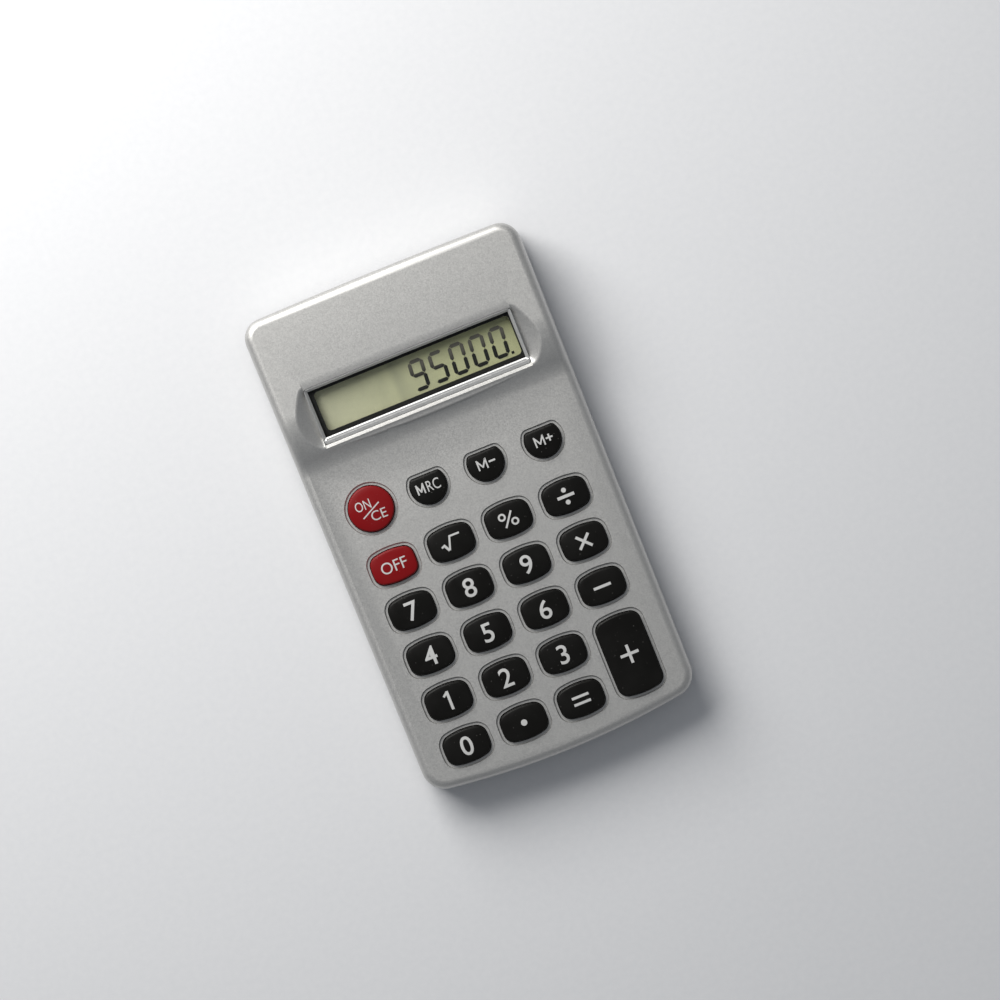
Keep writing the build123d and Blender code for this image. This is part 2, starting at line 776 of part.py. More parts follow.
with BuildPart() as dome_mat:
    with BuildSketch(Plane.XY.offset(board_top_z)):
        with Locations((0, (mat_far_y + mat_near_y) / 2)):
            RectangleRounded(2 * mat_half_width, mat_far_y - mat_near_y, board_corner)
        with Locations(*board_screw_places):
            Circle(board_boss_radius + board_boss_clearance, mode=Mode.SUBTRACT)
    extrude(amount=mat_sheet)
    with Locations(*[(x, y, board_top_z + mat_sheet) for x, y in key_centres]):
        Cone(dome_base_radius, dome_top_radius, dome_height - mat_sheet,
             align=(Align.CENTER, Align.CENTER, Align.MIN))
    with Locations(*[(x, y, board_top_z) for x, y in key_centres]):
        Cone(dome_base_radius - dome_skin, dome_top_radius - dome_skin, dome_height - dome_cap,
             align=(Align.CENTER, Align.CENTER, Align.MIN), mode=Mode.SUBTRACT)
write(dome_mat, "dome_mat")

with BuildPart() as carbon_pills:
    with BuildSketch(Plane.XY.offset(board_top_z + dome_height - dome_cap - pill_thickness)):
        with Locations(*key_centres):
            Circle(pill_radius)
    extrude(amount=pill_thickness)
write(carbon_pills, "carbon_pills")

# ---- Circuit board and what is on it ----
board_near_y = near_y + board_end_gap
board_far_y = bay_near_y - 2 * bay_wall

with BuildPart() as main_board:
    with BuildSketch(Plane.XY.offset(board_bottom_z)):
        with Locations((0, (board_near_y + board_far_y) / 2)):
            RectangleRounded(2 * board_half_width, board_far_y - board_near_y, board_corner)
        with Locations(*board_screw_places):
            Circle(board_screw_diameter / 2 + screw_clearance, mode=Mode.SUBTRACT)
        with Locations(*holder_post_places):
            Circle(post_radius + post_clearance, mode=Mode.SUBTRACT)
    extrude(amount=board_thickness)
write(main_board, "main_board")

with BuildPart() as key_contact_pads:
    with BuildSketch(Plane.XY.offset(board_top_z)):
        with Locations(*key_centres):
            Circle(pad_radius)
            Rectangle(pad_split, 3 * pad_radius, mode=Mode.SUBTRACT)
    extrude(amount=pad_thickness)
write(key_contact_pads, "key_contact_pads")

blob_sphere = (blob_radius**2 + blob_height**2) / (2 * blob_height)

with BuildPart() as chip_blob:
    with Locations((0, row_4, board_bottom_z - blob_height + blob_sphere)):
        Sphere(blob_sphere)
    split(bisect_by=Plane.XY.offset(board_bottom_z), keep=Keep.BOTTOM)
write(chip_blob, "chip_blob")

with BuildPart() as capacitor:
    with Locations((column_2, row_2, board_bottom_z - capacitor_radius)):
        Cylinder(capacitor_radius, capacitor_length, rotation=(0, 90, 0))
    fillet(capacitor.edges(), capacitor_edge_radius)
write(capacitor, "capacitor")

with BuildPart() as chip_resistors:
    with Locations((column_3, row_2, board_bottom_z)):
        with GridLocations(2 * chip_part_length, 0, 3, 1):
            Box(chip_part_length, chip_part_width, chip_part_height,
                align=(Align.CENTER, Align.CENTER, Align.MAX))
write(chip_resistors, "chip_resistors")

# ---- Display: bezel, window, tape, gasket, liquid-crystal cell and its holder ----
with BuildPart() as display_bezel:
    with BuildSketch(display_plane.offset(ledge_top)):
        RectangleRounded(bezel_outer_width, bezel_outer_height, dish_corner)
    extrude(amount=lens_top + bezel_thickness - ledge_top)
    with BuildSketch(display_plane.offset(ledge_top)):
        Rectangle(bezel_outer_width - 2 * bezel_skirt, bezel_outer_height - 2 * bezel_skirt)
    extrude(amount=lens_top - ledge_top, mode=Mode.SUBTRACT)
    # The sides slope down to the window, and the near side has one more small step.
    with BuildSketch(display_plane.offset(lens_top)):
        with Locations((0, bezel_inner_y)):
            Rectangle(bezel_inner_width, bezel_inner_height)
    with BuildSketch(display_plane.offset(lens_top + bezel_thickness)):
        with Locations((0, bezel_inner_y)):
            Rectangle(
                bezel_inner_width + 2 * (bezel_side - bezel_flat),
                bezel_inner_height + 2 * (bezel_side - bezel_flat),
            )
    loft(ruled=True, mode=Mode.SUBTRACT)
    with BuildSketch(display_plane.offset(lens_top + bezel_thickness / 2)):
        with Locations((0, (bezel_near - bezel_outer_height) / 2)):
            Rectangle(bezel_inner_width, bezel_near / 2, align=(Align.CENTER, Align.MIN))
    extrude(amount=bezel_thickness, mode=Mode.SUBTRACT)
write(display_bezel, "display_bezel")

with BuildPart() as display_window:
    with BuildSketch(display_plane.offset(tape_top)):
        Rectangle(lens_width, lens_height)
    extrude(amount=lens_thickness)
write(display_window, "display_window")

with BuildPart() as window_tape:
    with BuildSketch(display_plane.offset(ledge_top)):
        Rectangle(lens_width, lens_height)
        with Locations((view_x, view_y)):
            RectangleRounded(view_width, view_height, view_corner, mode=Mode.SUBTRACT)
    extrude(amount=tape_thickness)
write(window_tape, "window_tape")

with BuildPart() as lcd_gasket:
    with BuildSketch(display_plane.offset(polariser_top)):
        with Locations((view_x, view_y)):
            Rectangle(view_width + 2 * glass_margin, view_height + 2 * glass_margin)
            Rectangle(
                view_width + 2 * (glass_margin - gasket_width),
                view_height + 2 * (glass_margin - gasket_width),
                mode=Mode.SUBTRACT,
            )
    extrude(amount=gasket_thickness)
write(lcd_gasket, "lcd_gasket")

with BuildPart() as lcd_front_polariser:
    with BuildSketch(display_plane.offset(glass_top)):
        with Locations((view_x, view_y)):
            Rectangle(view_width + 2 * glass_margin, view_height + 2 * glass_margin)
    extrude(amount=polariser_thickness)
write(lcd_front_polariser, "lcd_front_polariser")

with BuildPart() as lcd_front_glass:
    with BuildSketch(display_plane.offset(glass_middle)):
        with Locations((view_x, (glass_far_y + front_glass_near_y) / 2)):
            Rectangle(glass_width, glass_far_y - front_glass_near_y)
    extrude(amount=glass_thickness)
write(lcd_front_glass, "lcd_front_glass")

with BuildPart() as lcd_rear_glass:
    with BuildSketch(display_plane.offset(glass_bottom)):
        with Locations((view_x, (glass_far_y + rear_glass_near_y) / 2)):
            Rectangle(glass_width, glass_far_y - rear_glass_near_y)
    extrude(amount=glass_thickness)
write(lcd_rear_glass, "lcd_rear_glass")

with BuildPart() as lcd_reflector:
    with BuildSketch(display_plane.offset(holder_top)):
        with Locations((view_x, (glass_far_y + rear_glass_near_y) / 2)):
            Rectangle(glass_width, glass_far_y - rear_glass_near_y)
    extrude(amount=reflector_thickness)
write(lcd_reflector, "lcd_reflector")

holder_width = glass_width + 2 * (holder_gap + holder_wall)
holder_far_y = glass_far_y + holder_gap + holder_wall

with BuildPart() as lcd_holder:
    with BuildSketch(display_plane.offset(holder_bottom)):
        with Locations((view_x, holder_far_y)):
            Rectangle(holder_width, holder_far_y - rear_glass_near_y, align=(Align.CENTER, Align.MAX))
    extrude(amount=ledge_bottom - holder_bottom)
    with BuildSketch(display_plane.offset(holder_top)):
        with Locations((view_x, glass_far_y + holder_gap)):
            Rectangle(
                glass_width + 2 * holder_gap, 2 * (glass_far_y - rear_glass_near_y),
                align=(Align.CENTER, Align.MAX),
            )
    extrude(amount=ledge_bottom - holder_top, mode=Mode.SUBTRACT)
    # The near ends of its walls are lower, clear of the slope.
    with BuildSketch(display_plane.offset(glass_middle)):
        with Locations((view_x, front_glass_near_y)):
            Rectangle(2 * holder_width, 2 * glass_contact_shelf, align=(Align.CENTER, Align.MAX))
    extrude(amount=ledge_bottom - glass_middle, mode=Mode.SUBTRACT)
write(lcd_holder, "lcd_holder")

# Flexible film from the glass shelf down to the board: two flat ends joined by a drop with two bends.
ribbon_middle = glass_middle + ribbon_thickness / 2
ribbon_board_z = board_top_z + ribbon_thickness / 2
ribbon_start = display_plane.from_local_coords((0, front_glass_near_y - holder_gap, ribbon_middle))
ribbon_bend_point = display_plane.from_local_coords(
    (0, rear_glass_near_y - holder_gap - ribbon_bend, ribbon_middle)
)

with BuildPart() as lcd_ribbon:
    with BuildSketch(Plane.YZ):
        with BuildLine() as film_line:
            FilletPolyline(
                (ribbon_start.Y, ribbon_start.Z),
                (ribbon_bend_point.Y, ribbon_bend_point.Z),
                (ribbon_bend_point.Y, ribbon_board_z),
                (ribbon_bend_point.Y - ribbon_bend - ribbon_landing, ribbon_board_z),
                radius=ribbon_bend,
            )
        trace(line_width=ribbon_thickness)
    extrude(amount=ribbon_width / 2, both=True)
write(lcd_ribbon, "lcd_ribbon")

# ---- Cell and contacts ----
with BuildPart() as battery_cell:
    with BuildSketch(Plane.YZ.offset(cell_offset_x - cell_length / 2)):
        with Locations((cell_y, cell_z)):
            Circle(cell_radius)
    extrude(amount=cell_length - cell_nub_length)
    fillet(battery_cell.edges().filter_by(GeomType.CIRCLE), cell_edge_radius)
    with BuildSketch(Plane.YZ.offset(cell_offset_x + cell_length / 2 - cell_nub_length)):
        with Locations((cell_y, cell_z)):
            Circle(cell_nub_diameter / 2)
    extrude(amount=cell_nub_length)
write(battery_cell, "battery_cell")

positive_x = cell_offset_x + cell_length / 2 + contact_play
negative_x = -bay_half_width + contact_play
contact_bottom_z = rail_z + rail_thickness + contact_play
blade_near_y = board_far_y - blade_reach


def contact_plate(plate_x):
    """Flat battery contact with a blade that runs through the bay wall to the board."""
    with BuildPart() as plate:
        with BuildSketch(Plane.YZ.offset(plate_x)):
            with Locations((cell_y, contact_bottom_z + contact_height / 2)):
                Rectangle(contact_width, contact_height)
            with Locations((blade_near_y, board_top_z)):
                Rectangle(cell_y - blade_near_y, blade_height, align=(Align.MIN, Align.MIN))
        extrude(amount=contact_thickness)
    return plate.part


positive_plate = contact_plate(positive_x)
negative_plate = contact_plate(negative_x)

with BuildPart() as contact_positive:
    add(positive_plate)
write(contact_positive, "contact_positive")

spring_start_x = negative_x + contact_thickness
spring_length = cell_offset_x - cell_length / 2 - contact_play - spring_start_x

with BuildPart() as contact_negative:
    add(negative_plate)
    with BuildLine() as coil_line:
        Helix(
            pitch=(spring_length - spring_wire) / spring_turns,
            height=spring_length - spring_wire,
            radius=spring_radius,
            center=(spring_start_x + spring_wire / 4, cell_y, cell_z),
            direction=(1, 0, 0),
        )
    with BuildSketch(Plane(coil_line.line @ 0, z_dir=coil_line.line % 0)):
        Circle(spring_wire / 2)
    sweep()
write(contact_negative, "contact_negative")

# ---- Screws and feet ----
with BuildPart() as case_screws:
    with BuildSketch(Plane.XY.offset(floor_z + pillar_height - screw_seat)):
        with Locations(*case_screw_places):
            Circle(screw_head_diameter / 2)
    extrude(amount=-screw_head_height)
    fillet(case_screws.faces().filter_by(Axis.Z).group_by(Axis.Z)[0].edges(), screw_head_rounding)
    with BuildSketch(Plane.XY.offset(floor_z + pillar_height - screw_seat)):
        with Locations(*case_screw_places):
            Circle(screw_diameter / 2)
    extrude(amount=screw_seat + screw_bite)
    # Cross recess in each head.
    with BuildSketch(Plane.XY.offset(floor_z + pillar_height - screw_seat - screw_head_height)):
        with Locations(*case_screw_places):
            Rectangle(screw_head_diameter * cross_share, screw_slot)
            Rectangle(screw_slot, screw_head_diameter * cross_share)
    extrude(amount=screw_head_height / 2, mode=Mode.SUBTRACT)
write(case_screws, "case_screws")

with BuildPart() as board_screws:
    with BuildSketch(Plane.XY.offset(board_bottom_z)):
        with Locations(*board_screw_places):
            Circle(board_screw_head_diameter / 2)
    extrude(amount=-board_screw_head_height)
    with BuildSketch(Plane.XY.offset(board_bottom_z)):
        with Locations(*board_screw_places):
            Circle(board_screw_diameter / 2)
    extrude(amount=plate_bottom_z - board_bottom_z)
    with BuildSketch(Plane.XY.offset(board_bottom_z - board_screw_head_height)):
        with Locations(*board_screw_places):
            Rectangle(board_screw_head_diameter * cross_share, screw_slot)
            Rectangle(screw_slot, board_screw_head_diameter * cross_share)
    extrude(amount=board_screw_head_height / 2, mode=Mode.SUBTRACT)
write(board_screws, "board_screws")

with BuildPart() as rubber_feet:
    with BuildSketch(Plane.XY):
        with Locations(*foot_places):
            Circle(foot_diameter / 2)
    extrude(amount=foot_height + foot_recess)
    fillet(rubber_feet.faces().filter_by(Axis.Z).group_by(Axis.Z)[0].edges(), foot_rounding)
write(rubber_feet, "rubber_feet")
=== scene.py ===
"""Looks of a pocket-size desk calculator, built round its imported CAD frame.

Lengths are millimetres while a piece is modelled, and become metres when it is finished. The frame is
the CAD's: +X to the user's right, +Y towards the display end, +Z up out of the keys.
"""
from __future__ import annotations

import json
import logging
import math
from dataclasses import dataclass
from enum import Enum
from typing import Any, ClassVar, Sequence

import bmesh
import bpy
from mathutils import Matrix, Vector

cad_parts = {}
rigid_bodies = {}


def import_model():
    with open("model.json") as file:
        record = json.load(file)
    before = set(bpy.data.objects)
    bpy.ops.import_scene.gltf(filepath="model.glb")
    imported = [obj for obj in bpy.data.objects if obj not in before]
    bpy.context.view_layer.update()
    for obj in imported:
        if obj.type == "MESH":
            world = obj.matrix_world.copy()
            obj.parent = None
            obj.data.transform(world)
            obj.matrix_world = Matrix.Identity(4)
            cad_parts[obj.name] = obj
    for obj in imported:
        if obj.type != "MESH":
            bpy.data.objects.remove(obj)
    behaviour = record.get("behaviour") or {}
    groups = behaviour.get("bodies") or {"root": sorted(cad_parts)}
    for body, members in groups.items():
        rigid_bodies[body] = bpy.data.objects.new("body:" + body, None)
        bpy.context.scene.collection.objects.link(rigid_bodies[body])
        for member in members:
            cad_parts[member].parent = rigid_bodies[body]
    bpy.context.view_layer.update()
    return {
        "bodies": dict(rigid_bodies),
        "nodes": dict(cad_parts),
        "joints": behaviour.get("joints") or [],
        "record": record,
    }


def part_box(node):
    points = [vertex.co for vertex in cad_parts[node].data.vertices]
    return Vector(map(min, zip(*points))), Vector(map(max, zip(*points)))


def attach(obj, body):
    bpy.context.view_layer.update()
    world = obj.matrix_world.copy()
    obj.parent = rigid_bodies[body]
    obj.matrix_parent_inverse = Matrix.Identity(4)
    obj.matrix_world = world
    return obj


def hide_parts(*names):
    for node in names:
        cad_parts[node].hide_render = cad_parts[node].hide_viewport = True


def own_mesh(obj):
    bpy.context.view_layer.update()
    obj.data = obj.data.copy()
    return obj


LOG = logging.getLogger("calculator")
METRES = 0.001
# Starts every material's name, to keep it apart from the frame's own materials.
LOOK = "look_"
# Corners of a CAD mesh that lie closer than this, in metres, are one corner.
MERGE_DISTANCE = 2e-7
# Turns between faces: less than the first is flat, less than the second is shaded smooth, and more than
# the third is a hard edge.
FLAT_ANGLE = math.radians(0.4)
SOFT_ANGLE = math.radians(35.0)
HARD_ANGLE = math.radians(40.0)

Colour = tuple[float, float, float]
Mesh = bmesh.types.BMesh
Socket = bpy.types.NodeSocket
Material = bpy.types.Material
# How marks that were wiped along Y are stretched.
WIPED: Colour = (1.0, 2.2, 1.0)


# --- Materials ---
def dimmed(colour: Colour, share: float) -> Colour:
    """The colour times a share, with no channel over 1."""
    return tuple(min(1.0, part * share) for part in colour)


def greyed(colour: Colour, grey: float, share: float) -> Colour:
    """The colour moved by a share towards a grey."""
    return tuple(part + (grey - part) * share for part in colour)


class Grain(Enum):
    """How a surface's fine texture is drawn."""

    NOISE = "ShaderNodeTexNoise"
    CELLS = "ShaderNodeTexVoronoi"


class NodeMaterial:
    """A material with one Principled shader and short ways to feed its sockets."""

    def __init__(self, name: str, **sockets: Any) -> None:
        """Make the material and set its uniform sockets.

        Args:
            name: Name of the material.
            **sockets: Principled socket names, with spaces as underscores, and their values.
        """
        self.material = bpy.data.materials.new(LOOK + name)
        self.material.use_nodes = True
        self.tree = self.material.node_tree
        self.tree.nodes.clear()
        self.output = self.add("ShaderNodeOutputMaterial")
        self.shader = self.add("ShaderNodeBsdfPrincipled")
        self.join(self.shader.outputs["BSDF"], self.output.inputs["Surface"])
        for socket, value in sockets.items():
            if socket == "Base_Color":
                value = (*value, 1.0)
            self.shader.inputs[socket.replace("_", " ")].default_value = value

    def add(self, kind: str, **settings: Any) -> bpy.types.Node:
        """Add a node.

        Args:
            kind: Name of the node's type.
            **settings: Its properties and their values.

        Returns:
            The node.
        """
        node = self.tree.nodes.new(kind)
        for key, value in settings.items():
            setattr(node, key, value)
        return node

    def join(self, source: Socket, target: Socket) -> None:
        """Link an output socket to an input socket."""
        self.tree.links.new(source, target)

    def place(self, size: float, stretch: Colour = (1.0, 1.0, 1.0)) -> Socket:
        """Object coordinates counted in units of the given size.

        Args:
            size: Size of one unit.
            stretch: How much longer than size the unit is along each axis.

        Returns:
            A vector socket.
        """
        coordinates = self.add("ShaderNodeTexCoord")
        mapping = self.add("ShaderNodeMapping")
        unit = 1.0 / (size * METRES)
        mapping.inputs["Scale"].default_value = [unit / part for part in stretch]
        self.join(coordinates.outputs["Object"], mapping.inputs["Vector"])
        return mapping.outputs["Vector"]

    def texture(self, size: float, grain: Grain = Grain.NOISE, detail: float = 2.0,
                stretch: Colour = (1.0, 1.0, 1.0)) -> Socket:
        """A grey texture with features of about a size.

        Args:
            size: Feature size.
            grain: Cloudy noise or separate cells.
            detail: Octaves of the noise.
            stretch: Stretch of the features along each axis.

        Returns:
            A value socket, about 0 to 1.
        """
        node = self.add(grain.value)
        node.inputs["Scale"].default_value = 1.0
        if grain is Grain.NOISE:
            node.inputs["Detail"].default_value = detail
            result = node.outputs["Fac"]
        else:
            split = self.add("ShaderNodeSeparateColor")
            self.join(node.outputs["Color"], split.inputs["Color"])
            result = split.outputs["Red"]
        self.join(self.place(size, stretch), node.inputs["Vector"])
        return result

    def along(self, axis: str) -> Socket:
        """Object coordinate along an axis.

        Args:
            axis: "X", "Y" or "Z".

        Returns:
            A value socket.
        """
        node = self.add("ShaderNodeSeparateXYZ")
        self.join(self.place(1.0), node.inputs["Vector"])
        return node.outputs[axis]

    def span(self, value: Socket, low: float, high: float,
             start: float = 0.0, end: float = 1.0) -> Socket:
        """Map a value from one range to another, clamped.

        Args:
            value: The value socket.
            low: Result at start and below.
            high: Result at end and above.
            start: Value that gives low.
            end: Value that gives high.

        Returns:
            A value socket.
        """
        node = self.add("ShaderNodeMapRange")
        node.inputs["From Min"].default_value = start
        node.inputs["From Max"].default_value = end
        node.inputs["To Min"].default_value = low
        node.inputs["To Max"].default_value = high
        self.join(value, node.inputs["Value"])
        return node.outputs["Result"]

    def blend(self, factor: Socket, first: Any, second: Any) -> Socket:
        """Mix two colours.

        Args:
            factor: Share of the second colour.
            first: A colour or a colour socket.
            second: A colour or a colour socket.

        Returns:
            A colour socket.
        """
        node = self.add("ShaderNodeMix", data_type="RGBA")
        self.join(factor, node.inputs["Factor"])
        for socket, value in ((node.inputs[6], first), (node.inputs[7], second)):
            if isinstance(value, Socket):
                self.join(value, socket)
            else:
                socket.default_value = (*value, 1.0)
        return node.outputs[2]

    def combine(self, operation: str, first: Socket, second: Socket) -> Socket:
        """Combine two values by arithmetic.

        Args:
            operation: "ADD" or "MULTIPLY".
            first: A value socket.
            second: A value socket.

        Returns:
            A value socket.
        """
        node = self.add("ShaderNodeMath", operation=operation)
        self.join(first, node.inputs[0])
        self.join(second, node.inputs[1])
        return node.outputs["Value"]

    def band(self, rise: tuple[float, float], fall: tuple[float, float], peak: float = 1.0) -> Socket:
        """A soft-edged band across the X axis.

        Args:
            rise: Where its first edge starts and ends.
            fall: Where its second edge starts and ends.
            peak: Value inside the band.

        Returns:
            A value socket, 0 outside the band.
        """
        near = self.span(self.along("X"), 0.0, peak, *rise)
        far = self.span(self.along("X"), 1.0, 0.0, *fall)
        return self.combine("MULTIPLY", near, far)

    def let_through(self, tint: Colour, share: Socket) -> None:
        """Make the surface clear.

        Args:
            tint: Colour of the light that passes.
            share: Share of the surface that still shows the Principled shader.
        """
        clear = self.add("ShaderNodeBsdfTransparent")
        clear.inputs["Color"].default_value = (*tint, 1.0)
        mix = self.add("ShaderNodeMixShader")
        self.join(share, mix.inputs["Fac"])
        self.join(clear.outputs["BSDF"], mix.inputs[1])
        self.join(self.shader.outputs["BSDF"], mix.inputs[2])
        self.join(mix.outputs["Shader"], self.output.inputs["Surface"])

    def feed(self, socket: str, source: Socket) -> None:
        """Link a socket of the Principled shader."""
        self.join(source, self.shader.inputs[socket])

    def bump(self, *layers: tuple[Socket, float]) -> None:
        """Raise the surface by one or more height sockets.

        Args:
            *layers: Pairs of a height socket and the height of its full swing.
        """
        normal = None
        for height, swing in layers:
            node = self.add("ShaderNodeBump")
            node.inputs["Distance"].default_value = swing * METRES
            self.join(height, node.inputs["Height"])
            if normal is not None:
                self.join(normal, node.inputs["Normal"])
            normal = node.outputs["Normal"]
        self.feed("Normal", normal)


@dataclass(frozen=True)
class SilverPaint:
    """Metallic paint on moulded plastic: fine flakes, a faint mottle and a soft lacquer."""

    name: str
    colour: Colour
    metallic: float = 0.8
    roughness: float = 0.48
    flake_size: float = 0.16
    flake_height: float = 0.0015
    contrast: float = 0.10
    mottle_size: float = 2.6
    mottle: float = 0.35
    swell_size: float = 0.7
    swell_height: float = 0.004
    lacquer: float = 0.25
    lacquer_roughness: float = 0.3

    def material(self) -> Material:
        """Build the material.

        Returns:
            The material.
        """
        paint = NodeMaterial(self.name, Metallic=self.metallic, IOR=1.5, Coat_Weight=self.lacquer,
                             Coat_Roughness=self.lacquer_roughness)
        flakes = paint.texture(self.flake_size, Grain.CELLS)
        mottle = paint.texture(self.mottle_size, detail=3.0)
        swell = paint.texture(self.swell_size, detail=3.0)
        dark = dimmed(self.colour, 1.0 - self.contrast)
        grained = paint.blend(flakes, dark, dimmed(self.colour, 1.0 + self.contrast))
        paint.feed("Base Color", paint.blend(paint.span(mottle, 0.0, self.mottle), grained, dark))
        paint.feed("Roughness", paint.span(flakes, self.roughness - 0.05, self.roughness + 0.07))
        paint.bump((flakes, self.flake_height), (swell, self.swell_height))
        return paint.material


@dataclass(frozen=True)
class MouldedPlastic:
    """Moulded plastic with a fine spark texture and a little handling wear."""

    name: str
    colour: Colour
    roughness: float = 0.5
    texture_size: float = 0.22
    texture_height: float = 0.006
    patch_size: float = 5.0
    wear: float = 0.025
    worn_grey: float = 0.25
    lint: float = 0.0
    lint_size: float = 0.45
    lint_colour: Colour = (0.35, 0.34, 0.32)
    shine: float = 0.5

    def material(self) -> Material:
        """Build the material.

        Returns:
            The material.
        """
        plastic = NodeMaterial(self.name, IOR=1.5, Specular_IOR_Level=self.shine)
        spark = plastic.texture(self.texture_size, detail=3.0)
        patches = plastic.texture(self.patch_size, detail=4.0)
        worn = greyed(self.colour, self.worn_grey, self.wear)
        colour = plastic.blend(plastic.span(patches, 0.0, 1.0, 0.35, 0.75), self.colour, worn)
        if self.lint > 0.0:
            dust = plastic.texture(self.lint_size, detail=1.0)
            specks = plastic.span(dust, 0.0, self.lint, 0.755, 0.79)
            colour = plastic.blend(specks, colour, self.lint_colour)
        plastic.feed("Base Color", colour)
        low, high = self.roughness - 0.06, self.roughness + 0.08
        plastic.feed("Roughness", plastic.span(patches, low, high, 0.3, 0.7))
        plastic.bump((spark, self.texture_height))
        return plastic.material


@dataclass(frozen=True)
class PrintedInk:
    """Opaque printed ink, slightly uneven."""

    name: str
    colour: Colour
    roughness: float = 0.55
    unevenness: float = 0.14
    blotch_size: float = 0.35

    def material(self) -> Material:
        """Build the material.

        Returns:
            The material.
        """
        ink = NodeMaterial(self.name, Roughness=self.roughness)
        thin = dimmed(self.colour, 1.0 - self.unevenness)
        ink.feed("Base Color", ink.blend(ink.texture(self.blotch_size), thin, self.colour))
        return ink.material


@dataclass(frozen=True)
class ClearPane:
    """Clear acrylic: light passes straight through, and its faces gleam at low angles."""

    name: str
    tint: Colour = (0.98, 0.985, 0.975)
    shade: Colour = (0.02, 0.02, 0.02)
    roughness: float = 0.04
    ior: float = 1.49
    smear: float = 0.10
    smear_size: float = 6.0

    def material(self) -> Material:
        """Build the material.

        Returns:
            The material.
        """
        pane = NodeMaterial(self.name, Base_Color=self.shade, IOR=self.ior)
        smears = pane.texture(self.smear_size, detail=5.0, stretch=WIPED)
        pane.feed("Roughness", pane.span(smears, self.roughness, self.roughness + self.smear, 0.45, 0.8))
        gleam = pane.add("ShaderNodeFresnel")
        gleam.inputs["IOR"].default_value = self.ior
        side = pane.add("ShaderNodeNewGeometry")
        outward = pane.span(side.outputs["Backfacing"], 1.0, 0.0)
        pane.let_through(self.tint, pane.combine("MULTIPLY", gleam.outputs["Fac"], outward))
        return pane.material


@dataclass(frozen=True)
class TintedFilm:
    """Thin film that passes a tinted light and shows a faint sheen."""

    name: str
    tint: Colour
    strength: float
    unevenness: float = 0.2
    cloud_size: float = 3.0
    haze: Colour = (0.5, 0.5, 0.45)

    def material(self) -> Material:
        """Build the material.

        Returns:
            The material.
        """
        film = NodeMaterial(self.name, Base_Color=self.haze, Roughness=0.25)
        clouds = film.texture(self.cloud_size, detail=3.0)
        low, high = self.strength * (1.0 - self.unevenness), self.strength * (1.0 + self.unevenness)
        film.let_through(self.tint, film.span(clouds, low, high))
        return film.material


@dataclass(frozen=True)
class Reflector:
    """Display backing: a foil with a painted reflection, pale and milky on the left and fading to its own
    olive along X, with fine sparkle and stains.
    """

    name: str
    painted_reflection: Colour
    olive: Colour
    stain: Colour
    reflection_fade_start: float = -22.0
    reflection_fade_end: float = 12.0
    smudge_at: float = -4.4
    smudge_width: float = 3.2
    smudge_depth: float = 0.5
    stain_size: float = 6.0
    stain_depth: float = 0.45
    sparkle_size: float = 0.12
    sparkle_depth: float = 0.10
    sparkle_height: float = 0.002

    def material(self) -> Material:
        """Build the material.

        Returns:
            The material.
        """
        foil = NodeMaterial(self.name, Metallic=0.1, Roughness=0.5)
        # Painted reflection: the foil is drawn pale and milky at the left, where a reflection washes it
        # out, and fades to its own olive towards the right.
        reflection_share = foil.span(foil.along("X"), 0.0, 1.0, self.reflection_fade_start, self.reflection_fade_end)
        foil_with_reflection = foil.blend(reflection_share, self.painted_reflection, self.olive)
        stains = foil.texture(self.stain_size, detail=4.0, stretch=WIPED)
        stained = foil.blend(foil.span(stains, 0.0, self.stain_depth, 0.48, 0.78), foil_with_reflection, self.stain)
        start, end = self.smudge_at - self.smudge_width / 2, self.smudge_at + self.smudge_width
        smudge = foil.band((start, self.smudge_at), (self.smudge_at, end), self.smudge_depth)
        smudged = foil.blend(smudge, stained, self.stain)
        sparkle = foil.texture(self.sparkle_size, Grain.CELLS)
        specks = foil.span(sparkle, 0.0, self.sparkle_depth)
        foil.feed("Base Color", foil.blend(specks, smudged, dimmed(self.stain, 0.9)))
        foil.bump((sparkle, self.sparkle_height))
        return foil.material


@dataclass(frozen=True)
class SegmentInk:
    """Liquid-crystal segments, dark below, with a painted pale reflection that washes out their tops."""

    name: str
    dark: Colour
    reflected_grey: Colour
    reflection_rise_start: float
    reflection_rise_end: float
    unevenness: float = 0.12
    blotch_size: float = 0.9

    def material(self) -> Material:
        """Build the material.

        Returns:
            The material.
        """
        ink = NodeMaterial(self.name, Roughness=0.45)
        blotches = ink.span(ink.texture(self.blotch_size, detail=3.0), -self.unevenness, self.unevenness)
        # Painted reflection: the segments turn paler towards their tops, where a pale reflection washes
        # them out.
        rise = ink.span(ink.along("Y"), 0.0, 1.0, self.reflection_rise_start, self.reflection_rise_end)
        ink.feed("Base Color", ink.blend(ink.combine("ADD", rise, blotches), self.dark, self.reflected_grey))
        return ink.material


@dataclass(frozen=True)
class Metal:
    """Bare or plated metal with fine scratches along one direction."""

    name: str
    colour: Colour
    roughness: float = 0.32
    scratch_size: float = 0.08
    scratch_stretch: Colour = (14.0, 1.0, 1.0)
    scratch_depth: float = 0.001
    tarnish_size: float = 2.0
    tarnish: float = 0.7

    def material(self) -> Material:
        """Build the material.

        Returns:
            The material.
        """
        metal = NodeMaterial(self.name, Metallic=1.0)
        scratches = metal.texture(self.scratch_size, stretch=self.scratch_stretch)
        patches = metal.span(metal.texture(self.tarnish_size, detail=4.0), 0.0, self.tarnish)
        metal.feed("Base Color", metal.blend(patches, self.colour, dimmed(self.colour, 0.7)))
        metal.feed("Roughness", metal.span(scratches, self.roughness - 0.1, self.roughness + 0.15))
        metal.bump((scratches, self.scratch_depth))
        return metal.material


